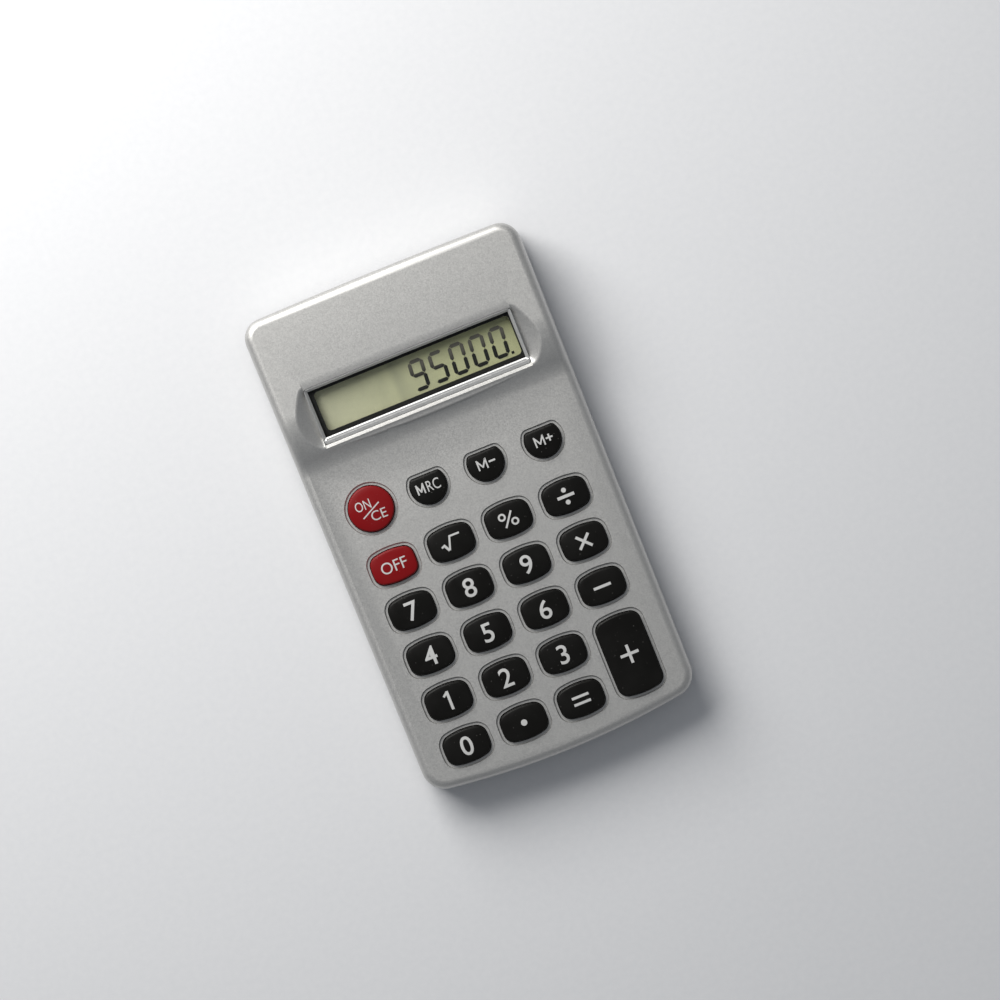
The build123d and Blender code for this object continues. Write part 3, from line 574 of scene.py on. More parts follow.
@dataclass(frozen=True)
class Rubber:
    """Soft rubber or silicone with a matt skin."""

    name: str
    colour: Colour
    roughness: float = 0.75
    subsurface: float = 0.0
    depth: float = 0.5
    dust: float = 0.6
    dust_size: float = 0.9
    dust_grey: float = 0.3
    grain_size: float = 0.18
    grain_height: float = 0.008

    def material(self) -> Material:
        """Build the material.

        Returns:
            The material.
        """
        rubber = NodeMaterial(self.name, Subsurface_Weight=self.subsurface,
                              Subsurface_Scale=self.depth * METRES)
        dust = rubber.texture(self.dust_size, detail=5.0)
        dusty = greyed(self.colour, self.dust_grey, 0.25)
        patches = rubber.span(dust, 0.0, self.dust, 0.5, 0.8)
        rubber.feed("Base Color", rubber.blend(patches, self.colour, dusty))
        rubber.feed("Roughness", rubber.span(dust, self.roughness - 0.1, self.roughness + 0.1))
        rubber.bump((rubber.texture(self.grain_size), self.grain_height))
        return rubber.material


@dataclass(frozen=True)
class CellJacket:
    """Printed jacket of the cell: a pale band and a dark band round its length."""

    name: str
    pale: Colour
    dark: Colour
    band_start: float
    band_end: float
    blur: float = 0.05
    scuff: float = 0.35
    scuff_size: float = 0.5
    scuff_colour: Colour = (0.42, 0.42, 0.42)
    dent_size: float = 1.2
    dent_depth: float = 0.01

    def material(self) -> Material:
        """Build the material.

        Returns:
            The material.
        """
        jacket = NodeMaterial(self.name, Roughness=0.28, Coat_Weight=0.4)
        rise = (self.band_start, self.band_start + self.blur)
        band = jacket.band(rise, (self.band_end, self.band_end + self.blur))
        scuffs = jacket.span(jacket.texture(self.scuff_size, detail=4.0), 0.0, self.scuff, 0.55, 0.8)
        printed = jacket.blend(band, self.pale, self.dark)
        jacket.feed("Base Color", jacket.blend(scuffs, printed, self.scuff_colour))
        jacket.bump((jacket.texture(self.dent_size), self.dent_depth))
        return jacket.material


class Finish(Enum):
    """The finishes of the calculator, one for each material."""

    CASE = SilverPaint("case_silver", (0.56, 0.556, 0.54))
    # Painted light: the bezel is the case's silver made lighter, to make up for the shade that the dish
    # walls cast on it.
    BEZEL = SilverPaint("bezel_silver_lightened", (0.66, 0.66, 0.65), roughness=0.52, flake_size=0.12)
    BACK = MouldedPlastic("back_grey", (0.22, 0.22, 0.215), roughness=0.55, texture_size=0.3,
                          texture_height=0.012)
    KEY = MouldedPlastic("key_black", (0.0048, 0.0045, 0.0038), roughness=0.38, lint=0.2, wear=0.006,
                         shine=0.16)
    KEY_RED = MouldedPlastic("key_red", (0.205, 0.0045, 0.006), roughness=0.38, lint=0.15, wear=0.003,
                             shine=0.16)
    INK = PrintedInk("legend_ink", (0.60, 0.60, 0.59))
    WINDOW = ClearPane("window_acrylic")
    POLARISER = TintedFilm("polariser", (0.96, 0.965, 0.93), strength=0.02)
    # The foil's first colour is a painted milky reflection on its left; the second is its own olive.
    REFLECTOR = Reflector("display_foil", (0.86, 0.84, 0.66), (0.76, 0.755, 0.48), (0.47, 0.47, 0.36))
    # The segments' second colour is a painted pale reflection on their tops.
    SEGMENT = SegmentInk("display_segment", (0.008, 0.009, 0.011), (0.19, 0.175, 0.165), 31.3, 34.2)
    BLACK = MouldedPlastic("black_foam", (0.006, 0.006, 0.006), roughness=0.7)
    HOLDER = MouldedPlastic("holder_black", (0.02, 0.02, 0.02), roughness=0.5)
    RIBBON = MouldedPlastic("ribbon_film", (0.30, 0.16, 0.04), roughness=0.3)
    SILICONE = Rubber("dome_silicone", (0.42, 0.42, 0.40), roughness=0.5, subsurface=0.3)
    CARBON = Rubber("carbon", (0.012, 0.012, 0.012), roughness=0.6)
    BOARD = MouldedPlastic("board_laminate", (0.34, 0.20, 0.07), roughness=0.45)
    EPOXY = MouldedPlastic("chip_epoxy", (0.008, 0.008, 0.008), roughness=0.2, texture_height=0.003)
    SLEEVE = MouldedPlastic("capacitor_sleeve", (0.01, 0.02, 0.09), roughness=0.3)
    NICKEL = Metal("contact_nickel", (0.66, 0.63, 0.58))
    ZINC = Metal("screw_zinc", (0.45, 0.45, 0.46), roughness=0.38)
    RUBBER = Rubber("foot_rubber", (0.02, 0.02, 0.02))
    CELL = CellJacket("cell_jacket", (0.55, 0.56, 0.57), (0.03, 0.09, 0.22), 8.0, 19.5)

    def material(self) -> Material:
        """The Blender material of this finish, built once."""
        found = bpy.data.materials.get(LOOK + self.value.name)
        return found if found is not None else self.value.material()


# --- Mesh helpers ---
@dataclass(frozen=True)
class Span:
    """Lowest and highest corner of a CAD node."""

    low: Vector
    high: Vector

    @staticmethod
    def of(node: str) -> Span:
        """The span of a CAD node at rest."""
        low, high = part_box(node)
        return Span(low / METRES, high / METRES)

    @property
    def centre(self) -> Vector:
        """Middle of the span."""
        return (self.low + self.high) / 2

    @property
    def size(self) -> Vector:
        """Length of the span along each axis."""
        return self.high - self.low


def new_verts(result: dict) -> list[bmesh.types.BMVert]:
    """The vertices in what an extrusion returned."""
    return [item for item in result["geom"] if isinstance(item, bmesh.types.BMVert)]


def round_edges(bm: Mesh, edges: Sequence[bmesh.types.BMEdge], width: float, segments: int) -> None:
    """Round edges by a width."""
    bmesh.ops.bevel(bm, geom=edges, offset=width, offset_type="OFFSET", segments=segments, profile=0.5,
                    affect="EDGES", material=-1)


def finish_piece(bm: Mesh, name: str, body: str, finish: Finish, replaces: Sequence[str] = (),
                 outwards: bool = True) -> bpy.types.Object:
    """Turn a bmesh in millimetres into a finished piece that rides on a body.

    Args:
        bm: The mesh, freed here.
        name: Name of the piece.
        body: CAD body that it moves with.
        finish: Its finish.
        replaces: CAD nodes that it stands for.
        outwards: Whether its faces still have to be turned outwards.

    Returns:
        The new object.
    """
    if outwards:
        bmesh.ops.recalc_face_normals(bm, faces=bm.faces)
    bm.transform(Matrix.Scale(METRES, 4))
    for edge in bm.edges:
        edge.smooth = edge.calc_face_angle(0.0) < SOFT_ANGLE
    for face in bm.faces:
        face.smooth = True
    mesh = bpy.data.meshes.new(name)
    bm.to_mesh(mesh)
    bm.free()
    mesh.materials.append(finish.material())
    piece = bpy.data.objects.new(name, mesh)
    bpy.context.scene.collection.objects.link(piece)
    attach(piece, body)
    if replaces:
        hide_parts(*replaces)
    LOG.info("%s: %d faces, rides on %s", name, len(mesh.polygons), body)
    return piece


def smooth_copy(frame: dict, node: str, body: str, finish: Finish, rim: float = 0.0) -> bpy.types.Object:
    """A merged, smoothly shaded copy of a CAD node, with its hard edges slightly rounded.

    Args:
        node: CAD node to copy and replace.
        body: Body that it moves with.
        finish: Its finish.
        rim: Width that hard edges are rounded by.

    Returns:
        The new piece.
    """
    bm = bmesh.new()
    bm.from_mesh(frame["nodes"][node].data)
    bmesh.ops.remove_doubles(bm, verts=bm.verts, dist=MERGE_DISTANCE)
    bmesh.ops.dissolve_limit(bm, angle_limit=FLAT_ANGLE, verts=bm.verts, edges=bm.edges)
    bm.transform(Matrix.Scale(1.0 / METRES, 4))
    piece = finish_piece(bm, node + "_shell", body, finish, [node], outwards=False)
    if rim > 0.0:
        bevel = piece.modifiers.new("edge_rounding", "BEVEL")
        bevel.width = rim * METRES
        bevel.segments = 2
        bevel.limit_method = "ANGLE"
        bevel.angle_limit = HARD_ANGLE
        bevel.harden_normals = True
    weighted = piece.modifiers.new("even_shading", "WEIGHTED_NORMAL")
    weighted.mode = "FACE_AREA"
    weighted.weight = 100
    weighted.keep_sharp = True
    return piece


# --- Key legends ---
@dataclass(frozen=True)
class Bar:
    """A straight printed bar, centred at (x, y), turned by angle degrees, with or without one across it."""

    length: float
    width: float
    x: float = 0.0
    y: float = 0.0
    angle: float = 0.0
    crossed: bool = False

    def draw(self, bm: Mesh) -> None:
        """Add the bar to a sheet, with nothing doubled where two cross.

        Args:
            bm: The sheet.
        """
        arm = (self.length - self.width) / 2
        reach = (self.width + arm) / 2
        arms = ((arm, -reach, self.angle + 90.0), (arm, reach, self.angle + 90.0)) if self.crossed else ()
        for length, along, angle in ((self.length, 0.0, self.angle), *arms):
            turn = Matrix.Translation((self.x, self.y, 0)) @ Matrix.Rotation(math.radians(angle), 4, "Z")
            shape = Matrix.Translation((along, 0, 0)) @ Matrix.Diagonal((length / 2, self.width / 2, 1, 1))
            bmesh.ops.create_grid(bm, x_segments=1, y_segments=1, size=1.0, matrix=turn @ shape)


@dataclass(frozen=True)
class Dot:
    """A round printed dot."""

    diameter: float
    x: float = 0.0
    y: float = 0.0

    def draw(self, bm: Mesh) -> None:
        """Add the dot to a sheet."""
        bmesh.ops.create_circle(bm, cap_ends=True, segments=28, radius=self.diameter / 2,
                                matrix=Matrix.Translation((self.x, self.y, 0)))


@dataclass(frozen=True)
class Ring:
    """A printed ring, as in a percent sign."""

    diameter: float
    stroke: float
    x: float = 0.0
    y: float = 0.0

    def draw(self, bm: Mesh) -> None:
        """Add the ring to a sheet.

        Args:
            bm: The sheet.
        """
        edges = set()
        place = Matrix.Translation((self.x, self.y, 0))
        for radius in (self.diameter / 2, self.diameter / 2 - self.stroke):
            circle = bmesh.ops.create_circle(bm, segments=32, radius=radius, matrix=place)
            edges.update(edge for vert in circle["verts"] for edge in vert.link_edges)
        bmesh.ops.bridge_loops(bm, edges=list(edges))


@dataclass(frozen=True)
class Letters:
    """Printed letters or digits, scaled to a height and, where given, a width."""

    text: str
    height: float
    x: float = 0.0
    y: float = 0.0
    width: float = 0.0
    weight: float = 0.0

    def draw(self, bm: Mesh) -> None:
        """Add the letters to a sheet.

        Args:
            bm: The sheet.
        """
        curve = bpy.data.curves.new("letters", "FONT")
        curve.body = self.text
        curve.size = 1.0
        curve.offset = self.weight
        curve.resolution_u = 8
        holder = bpy.data.objects.new("letters", curve)
        mesh = bpy.data.meshes.new_from_object(holder)
        low = Vector([min(vert.co[axis] for vert in mesh.vertices) for axis in range(3)])
        high = Vector([max(vert.co[axis] for vert in mesh.vertices) for axis in range(3)])
        tall = self.height / (high.y - low.y)
        wide = self.width / (high.x - low.x) if self.width else tall
        centre = (low + high) / 2
        mesh.transform(Matrix.Translation((self.x, self.y, 0)) @ Matrix.Diagonal((wide, tall, 1.0, 1.0))
                       @ Matrix.Translation((-centre.x, -centre.y, 0)))
        bm.from_mesh(mesh)
        bpy.data.meshes.remove(mesh)
        bpy.data.objects.remove(holder)
        bpy.data.curves.remove(curve)


@dataclass(frozen=True)
class CapitalM:
    """A printed M with upright stems."""

    height: float
    width: float
    x: float = 0.0
    y: float = 0.0
    stroke: float = 0.34
    dip: float = 0.82

    def draw(self, bm: Mesh) -> None:
        """Add the letter to a sheet.

        Args:
            bm: The sheet.
        """
        side = (self.width - self.stroke) / 2
        fall = (self.height - self.stroke) * self.dip
        slope = math.degrees(math.atan2(fall, side))
        length = math.hypot(side, fall) + self.stroke * 0.6
        middle = self.y + (self.height - self.stroke - fall) / 2
        for sign in (-1, 1):
            Bar(self.height, self.stroke, self.x + sign * side, self.y, 90.0).draw(bm)
            Bar(length, self.stroke, self.x + sign * side / 2, middle, sign * slope).draw(bm)


Mark = Bar | Dot | Ring | Letters | CapitalM


class Crown(Enum):
    """How a key's top is rounded."""

    ROUND = "in every direction"
    ACROSS = "across its width only"


@dataclass(frozen=True)
class Legend:
    """The print on one key, drawn about the key's centre."""

    key: str
    marks: tuple[Mark, ...]
    crown: Crown = Crown.ROUND


@dataclass(frozen=True)
class Keypad:
    """The 23 keys, their printed legends and the dome mat under them."""

    crown_radius: float = 34.0
    print_lift: float = 0.012
    print_depth: float = 0.03
    cut_pitch: float = 0.45
    digit_height: float = 4.25
    bar_width: float = 0.62
    dome_sides: int = 32
    sheet_thickness: float = 0.8
    dome_base: float = 3.3
    dome_top: float = 2.3
    dome_soften: float = 0.25
    dome_root: float = 0.1
    mat_corner: float = 3.0
    travel: float = 0.8

    RED_KEYS: ClassVar[tuple[str, ...]] = ("key_on_ce", "key_off")
    CUT_KEYS: ClassVar[tuple[str, ...]] = ("key_mrc", "key_m_minus", "key_m_plus")

    @property
    def legends(self) -> tuple[Legend, ...]:
        """Every key's legend.

        Returns:
            The legends, one for each key.
        """
        bar = self.bar_width
        digits = tuple(Legend(f"key_{digit}", (Letters(str(digit), self.digit_height, weight=0.008),))
                       for digit in range(10) if digit != 1)
        return digits + (
            Legend("key_1", (Bar(self.digit_height, bar, 0.3, angle=90.0),
                             Bar(1.35, 0.5, -0.2, 1.52, 38.0))),
            Legend("key_on_ce", (
                Letters("ON", 2.15, -1.45, 1.25, 3.5),
                Letters("CE", 2.15, 1.2, -1.75, 3.5),
                Bar(5.0, 0.28, -0.1, -0.35, 27.0),
            )),
            Legend("key_off", (Letters("OFF", 2.55, width=5.9),)),
            Legend("key_mrc", (CapitalM(2.3, 1.85, -1.85, -0.15), Letters("RC", 2.4, 1.1, -0.15, 3.0))),
            Legend("key_m_minus", (CapitalM(2.35, 2.3, -0.85, -0.15), Bar(1.5, 0.42, 1.45, -0.1))),
            Legend("key_m_plus", (CapitalM(2.35, 2.3, -0.85, -0.15),
                                  Bar(1.6, 0.38, 1.45, -0.1, crossed=True))),
            Legend("key_root", (
                Bar(0.95, 0.42, -1.95, -0.25, 25.0),
                Bar(1.75, 0.55, -1.35, -0.75, -62.0),
                Bar(3.3, 0.42, -0.35, 0.05, 72.0),
                Bar(2.35, 0.42, 1.2, 1.45),
            )),
            Legend("key_percent", (
                Ring(1.75, 0.42, -1.25, 0.85),
                Ring(1.75, 0.42, 1.25, -0.85),
                Bar(4.0, 0.42, angle=55.0),
            )),
            Legend("key_divide", (Bar(3.9, 0.68), Dot(1.08, 0.0, 1.4), Dot(1.08, 0.0, -1.4))),
            Legend("key_multiply", (Bar(4.1, bar, angle=45.0, crossed=True),)),
            Legend("key_minus", (Bar(4.0, bar),)),
            Legend("key_plus", (Bar(4.2, 0.65, crossed=True),), Crown.ACROSS),
            Legend("key_point", (Dot(1.4),)),
            Legend("key_equals", (Bar(3.9, 0.58, y=0.75), Bar(3.9, 0.58, y=-0.75))),
        )

    @staticmethod
    def body(key: str) -> str:
        """Name of the body that a key belongs to."""
        return key + "_cap"

    @staticmethod
    def centre(key: str) -> Vector:
        """Top centre of a key: for one that is part of a disc, the middle of the disc.

        Args:
            key: The key.

        Returns:
            The point.
        """
        span = Span.of(key)
        y = span.low.y + span.size.x / 2 if key in Keypad.CUT_KEYS else span.centre.y
        return Vector((span.centre.x, y, span.high.z))

    def print_legend(self, legend: Legend) -> None:
        """Make one key's legend as a thin print that follows the key's crown.

        Args:
            legend: The legend to print.
        """
        bm = bmesh.new()
        for mark in legend.marks:
            mark.draw(bm)
        self.cut_to_grid(bm)
        centre = self.centre(legend.key)
        for vert in bm.verts:
            reach = vert.co.x if legend.crown is Crown.ACROSS else vert.co.xy.length
            drop = self.crown_radius - math.sqrt(self.crown_radius**2 - reach**2)
            vert.co = Vector((vert.co.x, vert.co.y, self.print_lift - drop)) + centre
        below = bmesh.ops.extrude_face_region(bm, geom=bm.faces[:], use_keep_orig=True)
        bmesh.ops.translate(bm, verts=new_verts(below), vec=(0, 0, -self.print_depth))
        finish_piece(bm, legend.key + "_legend", self.body(legend.key), Finish.INK)

    def cut_to_grid(self, bm: Mesh) -> None:
        """Cut a flat sheet along a square grid, so that it can be bent over a crown.

        Args:
            bm: The sheet.
        """
        for axis, normal in enumerate((Vector((1, 0, 0)), Vector((0, 1, 0)))):
            reach = max(abs(vert.co[axis]) for vert in bm.verts)
            steps = math.ceil(reach / self.cut_pitch)
            for step in range(-steps, steps + 1):
                geometry = bm.verts[:] + bm.edges[:] + bm.faces[:]
                bmesh.ops.bisect_plane(bm, geom=geometry, plane_co=normal * step * self.cut_pitch,
                                       plane_no=normal, dist=1e-5)

    def make_dome(self, key: str, sheet_top: float, cap_top: float) -> None:
        """Make the silicone dome under one key.

        Args:
            key: The key above the dome.
            sheet_top: Height of the mat's flat top.
            cap_top: Height of the dome's top.
        """
        centre = self.centre(key)
        bm = bmesh.new()
        foot = sheet_top - self.dome_root
        bmesh.ops.create_circle(bm, cap_ends=True, segments=self.dome_sides, radius=self.dome_base,
                                matrix=Matrix.Translation((centre.x, centre.y, foot)))
        top = new_verts(bmesh.ops.extrude_face_region(bm, geom=bm.faces[:]))
        bmesh.ops.translate(bm, verts=top, vec=(0, 0, cap_top - foot))
        narrowing = self.dome_top / self.dome_base
        middle = Matrix.Translation((-centre.x, -centre.y, 0))
        bmesh.ops.scale(bm, verts=top, vec=(narrowing, narrowing, 1.0), space=middle)
        edges = [edge for edge in bm.edges if all(vert in top for vert in edge.verts)]
        round_edges(bm, edges, self.dome_soften, 3)
        piece = finish_piece(bm, key + "_dome", "root", Finish.SILICONE)
        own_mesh(piece)

    def make_mat(self) -> None:
        """Make the flat sheet of the dome mat."""
        span = Span.of("dome_mat")
        top = span.low.z + self.sheet_thickness
        bm = bmesh.new()
        middle = Matrix.Translation((span.centre.x, span.centre.y, (span.low.z + top) / 2))
        shape = Matrix.Diagonal((span.size.x, span.size.y, self.sheet_thickness, 1.0))
        bmesh.ops.create_cube(bm, size=1.0, matrix=middle @ shape)
        upright = [edge for edge in bm.edges
                   if abs(edge.verts[0].co.z - edge.verts[1].co.z) > self.sheet_thickness / 2]
        round_edges(bm, upright, self.mat_corner, 8)
        finish_piece(bm, "dome_mat_sheet", "root", Finish.SILICONE, ["dome_mat"])

    def build(self, frame: dict) -> None:
        """Make the keys, their legends and the mat.
        """
        mat = Span.of("dome_mat")
        for legend in self.legends:
            finish = Finish.KEY_RED if legend.key in self.RED_KEYS else Finish.KEY
            smooth_copy(frame, legend.key, self.body(legend.key), finish)
            self.print_legend(legend)
            self.make_dome(legend.key, mat.low.z + self.sheet_thickness, mat.high.z)
        self.make_mat()


# --- Display ---
@dataclass(frozen=True)
class Display:
    """The window, its frame, the liquid-crystal stack and the number that it shows."""

    tilt: float = math.radians(11.0)
    number: str = "95000."
    digit_width: float = 3.6
    digit_height: float = 7.1
    digit_pitch: float = 4.71
    number_right: float = 20.45
    number_middle: float = -0.63
    stroke: float = 0.84
    joint_gap: float = 0.05
    slant: float = 0.08
    point_size: float = 0.62
    thickness: float = 0.02
    film_thickness: float = 0.15
    film_margin: float = 0.5
    bezel_rim: float = 0.05
    window_rim: float = 0.08

    SEGMENTS: ClassVar[dict[str, str]] = {
        "0": "abcdef", "1": "bc", "2": "abged", "3": "abgcd", "4": "fgbc",
        "5": "afgcd", "6": "afgedc", "7": "abc", "8": "abcdefg", "9": "abcdfg",
    }

    def segment(self, bm: Mesh, start: Vector, end: Vector) -> None:
        """Add one segment: a bar with pointed ends.

        Args:
            bm: Mesh to add it to.
            start: Corner of the digit where the segment starts.
            end: Corner where it ends.
        """
        along = (end - start).normalized()
        across = Vector((-along.y, along.x, 0.0)) * self.stroke / 2
        first = start + along * self.joint_gap
        last = end - along * self.joint_gap
        point = along * self.stroke / 2
        outline = (first, first + point + across, last - point + across, last, last - point - across,
                   first + point - across)
        bm.faces.new([bm.verts.new(corner) for corner in outline])

    def digit(self, bm: Mesh, figure: str, right: float, base: float) -> None:
        """Add one figure with its lower right corner at (right, base).

        Args:
            bm: Mesh to add it to.
            figure: The figure, 0 to 9.
            right: Right edge of the digit.
            base: Bottom edge of the digit.
        """
        half = self.stroke / 2
        left_x = right - self.digit_width + half
        right_x = right - half
        low, middle, high = base + half, base + self.digit_height / 2, base + self.digit_height - half
        corners = {
            "a": ((left_x, high), (right_x, high)), "b": ((right_x, high), (right_x, middle)),
            "c": ((right_x, middle), (right_x, low)), "d": ((left_x, low), (right_x, low)),
            "e": ((left_x, middle), (left_x, low)), "f": ((left_x, high), (left_x, middle)),
            "g": ((left_x, middle), (right_x, middle)),
        }
        for name in self.SEGMENTS[figure]:
            start, end = (Vector((x + (y - base) * self.slant, y, 0.0)) for x, y in corners[name])
            self.segment(bm, start, end)

    def front_glass(self) -> tuple[Vector, Matrix]:
        """Work out from its upright box how the front glass lies.

        Returns:
            Its true size, and the matrix that lays a shape drawn about the origin on its middle.
        """
        span = Span.of("lcd_front_glass")
        cosine, sine, scale = math.cos(self.tilt), math.sin(self.tilt), math.cos(2 * self.tilt)
        depth = (span.size.y * cosine - span.size.z * sine) / scale
        thickness = (span.size.z * cosine - span.size.y * sine) / scale
        place = Matrix.Translation(span.centre) @ Matrix.Rotation(self.tilt, 4, "X")
        return Vector((span.size.x, depth, thickness)), place

    def make_number(self) -> None:
        """Make the dark segments of the number, low in the display's front glass."""
        glass, place = self.front_glass()
        base = self.number_middle - self.digit_height / 2
        bm = bmesh.new()
        for column, figure in enumerate(reversed(self.number.replace(".", ""))):
            self.digit(bm, figure, self.number_right - column * self.digit_pitch, base)
        size = self.point_size
        point = Matrix.Translation((self.number_right + size * 0.9, base + size / 2, 0.0))
        bmesh.ops.create_grid(bm, x_segments=1, y_segments=1, size=size / 2, matrix=point)
        bmesh.ops.recalc_face_normals(bm, faces=bm.faces)
        bmesh.ops.solidify(bm, geom=bm.faces[:], thickness=self.thickness)
        bm.transform(place @ Matrix.Translation((0.0, 0.0, self.thickness * 2 - glass.z / 2)))
        number = finish_piece(bm, "display_number", "root", Finish.SEGMENT)

    def make_front_pane(self) -> None:
        """Make the front glass with its polarising film, as one stepped pane."""
        glass, place = self.front_glass()
        bm = bmesh.new()
        bmesh.ops.create_cube(bm, size=1.0, matrix=Matrix.Diagonal((*glass, 1.0)))
        top = [face for face in bm.faces if face.normal.z > 0.5]
        bmesh.ops.inset_region(bm, faces=top, thickness=self.film_margin, use_even_offset=True)
        raised = new_verts(bmesh.ops.extrude_face_region(bm, geom=top))
        bmesh.ops.delete(bm, geom=top, context="FACES")
        bmesh.ops.translate(bm, verts=raised, vec=(0.0, 0.0, self.film_thickness))
        bm.transform(place)
        pane = finish_piece(bm, "display_front_pane", "root", Finish.POLARISER,
                            ["lcd_front_polariser", "lcd_front_glass"])

    def build(self, frame: dict) -> None:
        """Make the display's pieces.
        """
        self.make_number()
        self.make_front_pane()
        smooth_copy(frame, "display_bezel", "root", Finish.BEZEL, rim=self.bezel_rim)
        smooth_copy(frame, "display_window", "root", Finish.WINDOW, rim=self.window_rim)


# --- Case ---
@dataclass(frozen=True)
class Case:
    """Front shell, rear shell, battery door, screws and feet."""

    rim: float = 0.06

    def build(self, frame: dict) -> None:
        """Make the smooth shells.
        """
        smooth_copy(frame, "front_shell", "root", Finish.CASE, rim=self.rim)
        smooth_copy(frame, "rear_shell", "root", Finish.BACK, rim=self.rim)
        smooth_copy(frame, "battery_door", "door", Finish.BACK, rim=self.rim)
        smooth_copy(frame, "case_screws", "root", Finish.ZINC)
        smooth_copy(frame, "rubber_feet", "root", Finish.RUBBER)


@dataclass(frozen=True)
class Cell:
    """The cell that lies across the display end: a plated can in a printed jacket."""

    sides: int = 72
    end_recess: float = 0.15
    recess_radius: float = 3.4
    seat_radius: float = 3.8
    crimp: float = 0.5
    shoulder: float = 0.4
    pole_length: float = 0.8
    pole_radius: float = 1.9
    pole_rounding: float = 0.15
    jacket_thickness: float = 0.12
    seam_gap: float = 0.001

    def turn(self, span: Span, outline: Sequence[tuple[float, float]]) -> Mesh:
        """Spin an outline round the cell's axis.

        Args:
            span: The CAD cell's span.
            outline: Distance from the flat end and from the axis of each corner, in order.

        Returns:
            The turned mesh.
        """
        bm = bmesh.new()
        start = Vector((span.low.x, span.centre.y, span.centre.z))
        corners = [bm.verts.new(start + Vector((along, 0.0, radius))) for along, radius in outline]
        edges = [bm.edges.new(pair) for pair in zip(corners, corners[1:])]
        bmesh.ops.spin(bm, geom=corners + edges, cent=start, axis=(1.0, 0.0, 0.0), angle=math.tau,
                       steps=self.sides, use_merge=True)
        bmesh.ops.remove_doubles(bm, verts=bm.verts, dist=self.seam_gap)
        return bm

    def build(self) -> None:
        """Make the can and the jacket."""
        span = Span.of("battery_cell")
        length = span.size.x
        radius = span.size.y / 2
        body = length - self.pole_length
        can_radius = radius - self.jacket_thickness
        can = self.turn(span, (
            (self.end_recess, 0.0), (self.end_recess, self.recess_radius), (0.0, self.seat_radius),
            (0.0, can_radius - self.shoulder), (self.crimp, can_radius), (body - self.crimp, can_radius),
            (body, can_radius - self.shoulder), (body, self.pole_radius + self.shoulder),
            (body + self.pole_rounding, self.pole_radius), (length - self.pole_rounding, self.pole_radius),
            (length, self.pole_radius - self.pole_rounding), (length, 0.0)))
        finish_piece(can, "cell_can", "root", Finish.NICKEL, ["battery_cell"])
        jacket = self.turn(span, (
            (self.crimp, can_radius), (self.crimp, radius), (body - self.crimp, radius),
            (body - self.crimp, can_radius), (self.crimp, can_radius)))
        sleeve = finish_piece(jacket, "cell_jacket", "root", Finish.CELL)


# Finishes of the CAD nodes that are shown as they are, inside the case.
PLAIN_NODES: dict[str, Finish] = {
    "window_tape": Finish.BLACK,
    "lcd_gasket": Finish.BLACK,
    "lcd_rear_glass": Finish.REFLECTOR,
    "lcd_reflector": Finish.REFLECTOR,
    "lcd_holder": Finish.HOLDER,
    "lcd_ribbon": Finish.RIBBON,
    "carbon_pills": Finish.CARBON,
    "main_board": Finish.BOARD,
    "key_contact_pads": Finish.CARBON,
    "chip_blob": Finish.EPOXY,
    "capacitor": Finish.SLEEVE,
    "chip_resistors": Finish.EPOXY,
    "contact_positive": Finish.NICKEL,
    "contact_negative": Finish.NICKEL,
    "board_screws": Finish.ZINC,
}


def dress_nodes(frame: dict) -> None:
    """Give each CAD node listed in PLAIN_NODES its finish.
    """
    for node, finish in PLAIN_NODES.items():
        mesh = frame["nodes"][node].data
        mesh.materials.clear()
        mesh.materials.append(finish.material())


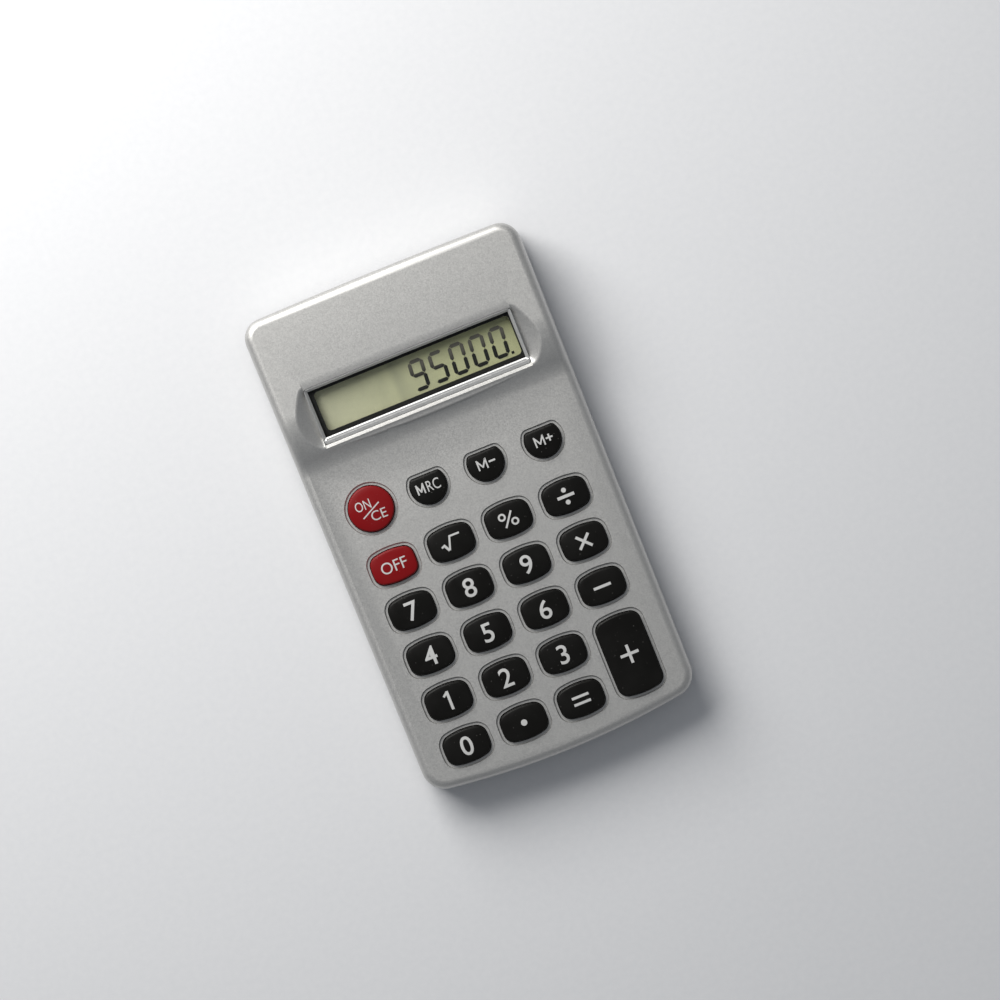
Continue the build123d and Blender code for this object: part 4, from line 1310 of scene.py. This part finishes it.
# --- Studio ---
@dataclass(frozen=True)
class Studio:
    """Pale floor, soft light and the camera above the calculator.

    The camera is turned about Z by turn degrees, and lamp_side is a direction in its right, up and back.
    """

    turn: float = 22.03
    camera_x: float = 6.6
    camera_y: float = -0.2
    camera_height: float = 700.0
    focus_height: float = 11.8
    view_width: float = 218.8184
    sensor: float = 36.0
    clip: float = 10.0
    floor_size: float = 1600.0
    floor_dark: Colour = (0.74, 0.75, 0.77)
    floor_pale: Colour = (0.80, 0.805, 0.82)
    fibre_size: float = 1.5
    lamp_side: Colour = (-0.88, 0.92, 1.05)
    lamp_distance: float = 540.0
    lamp_size: float = 390.0
    lamp_power: float = 3.75
    lamp_colour: Colour = (1.0, 0.985, 0.96)
    surround: Colour = (0.90, 0.94, 1.0)
    surround_strength: float = 0.24

    def make_camera(self) -> None:
        """Put the camera straight above, turned against the calculator."""
        data = bpy.data.cameras.new("camera")
        distance = self.camera_height - self.focus_height
        data.sensor_width = self.sensor
        data.lens = self.sensor * distance / self.view_width
        data.clip_start = self.clip * METRES
        camera = bpy.data.objects.new("camera", data)
        camera.location = Vector((self.camera_x, self.camera_y, self.camera_height)) * METRES
        camera.rotation_euler = (0.0, 0.0, math.radians(-self.turn))
        bpy.context.scene.collection.objects.link(camera)
        bpy.context.scene.camera = camera

    def make_floor(self) -> None:
        """Make the pale floor that the feet stand on."""
        bm = bmesh.new()
        bmesh.ops.create_grid(bm, x_segments=1, y_segments=1, size=self.floor_size / 2 * METRES)
        mesh = bpy.data.meshes.new("floor")
        bm.to_mesh(mesh)
        bm.free()
        paper = NodeMaterial("floor_paper", Roughness=0.9)
        fibres = paper.texture(self.fibre_size, detail=5.0)
        paper.feed("Base Color", paper.blend(fibres, self.floor_dark, self.floor_pale))
        mesh.materials.append(paper.material)
        floor = bpy.data.objects.new("floor", mesh)
        bpy.context.scene.collection.objects.link(floor)

    def make_lamp(self) -> None:
        """Add the square soft light that faces the calculator."""
        data = bpy.data.lights.new("window_light", "AREA")
        data.shape = "SQUARE"
        data.size = self.lamp_size * METRES
        data.energy = self.lamp_power
        data.color = self.lamp_colour
        light = bpy.data.objects.new("window_light", data)
        view = Matrix.Rotation(math.radians(-self.turn), 3, "Z")
        towards = (view @ Vector(self.lamp_side)).normalized()
        light.location = towards * self.lamp_distance * METRES
        light.rotation_euler = towards.to_track_quat("Z", "Y").to_euler()
        bpy.context.scene.collection.objects.link(light)

    def make_world(self) -> None:
        """Give the scene an even pale surround."""
        world = bpy.data.worlds.new("surround")
        world.use_nodes = True
        background = world.node_tree.nodes["Background"]
        background.inputs["Color"].default_value = (*self.surround, 1.0)
        background.inputs["Strength"].default_value = self.surround_strength
        bpy.context.scene.world = world

    def build(self) -> None:
        """Make the camera, the floor, the surround and the lamp."""
        self.make_camera()
        self.make_floor()
        self.make_world()
        self.make_lamp()
        bpy.context.scene.view_settings.view_transform = "Standard"


def main() -> None:
    """Build the calculator round its frame, and the studio round the calculator."""
    logging.basicConfig(level=logging.INFO, format="%(message)s")
    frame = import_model()
    Studio().build()
    dress_nodes(frame)
    Case().build(frame)
    Keypad().build(frame)
    Display().build(frame)
    Cell().build()


if __name__ == "__main__":
    main()
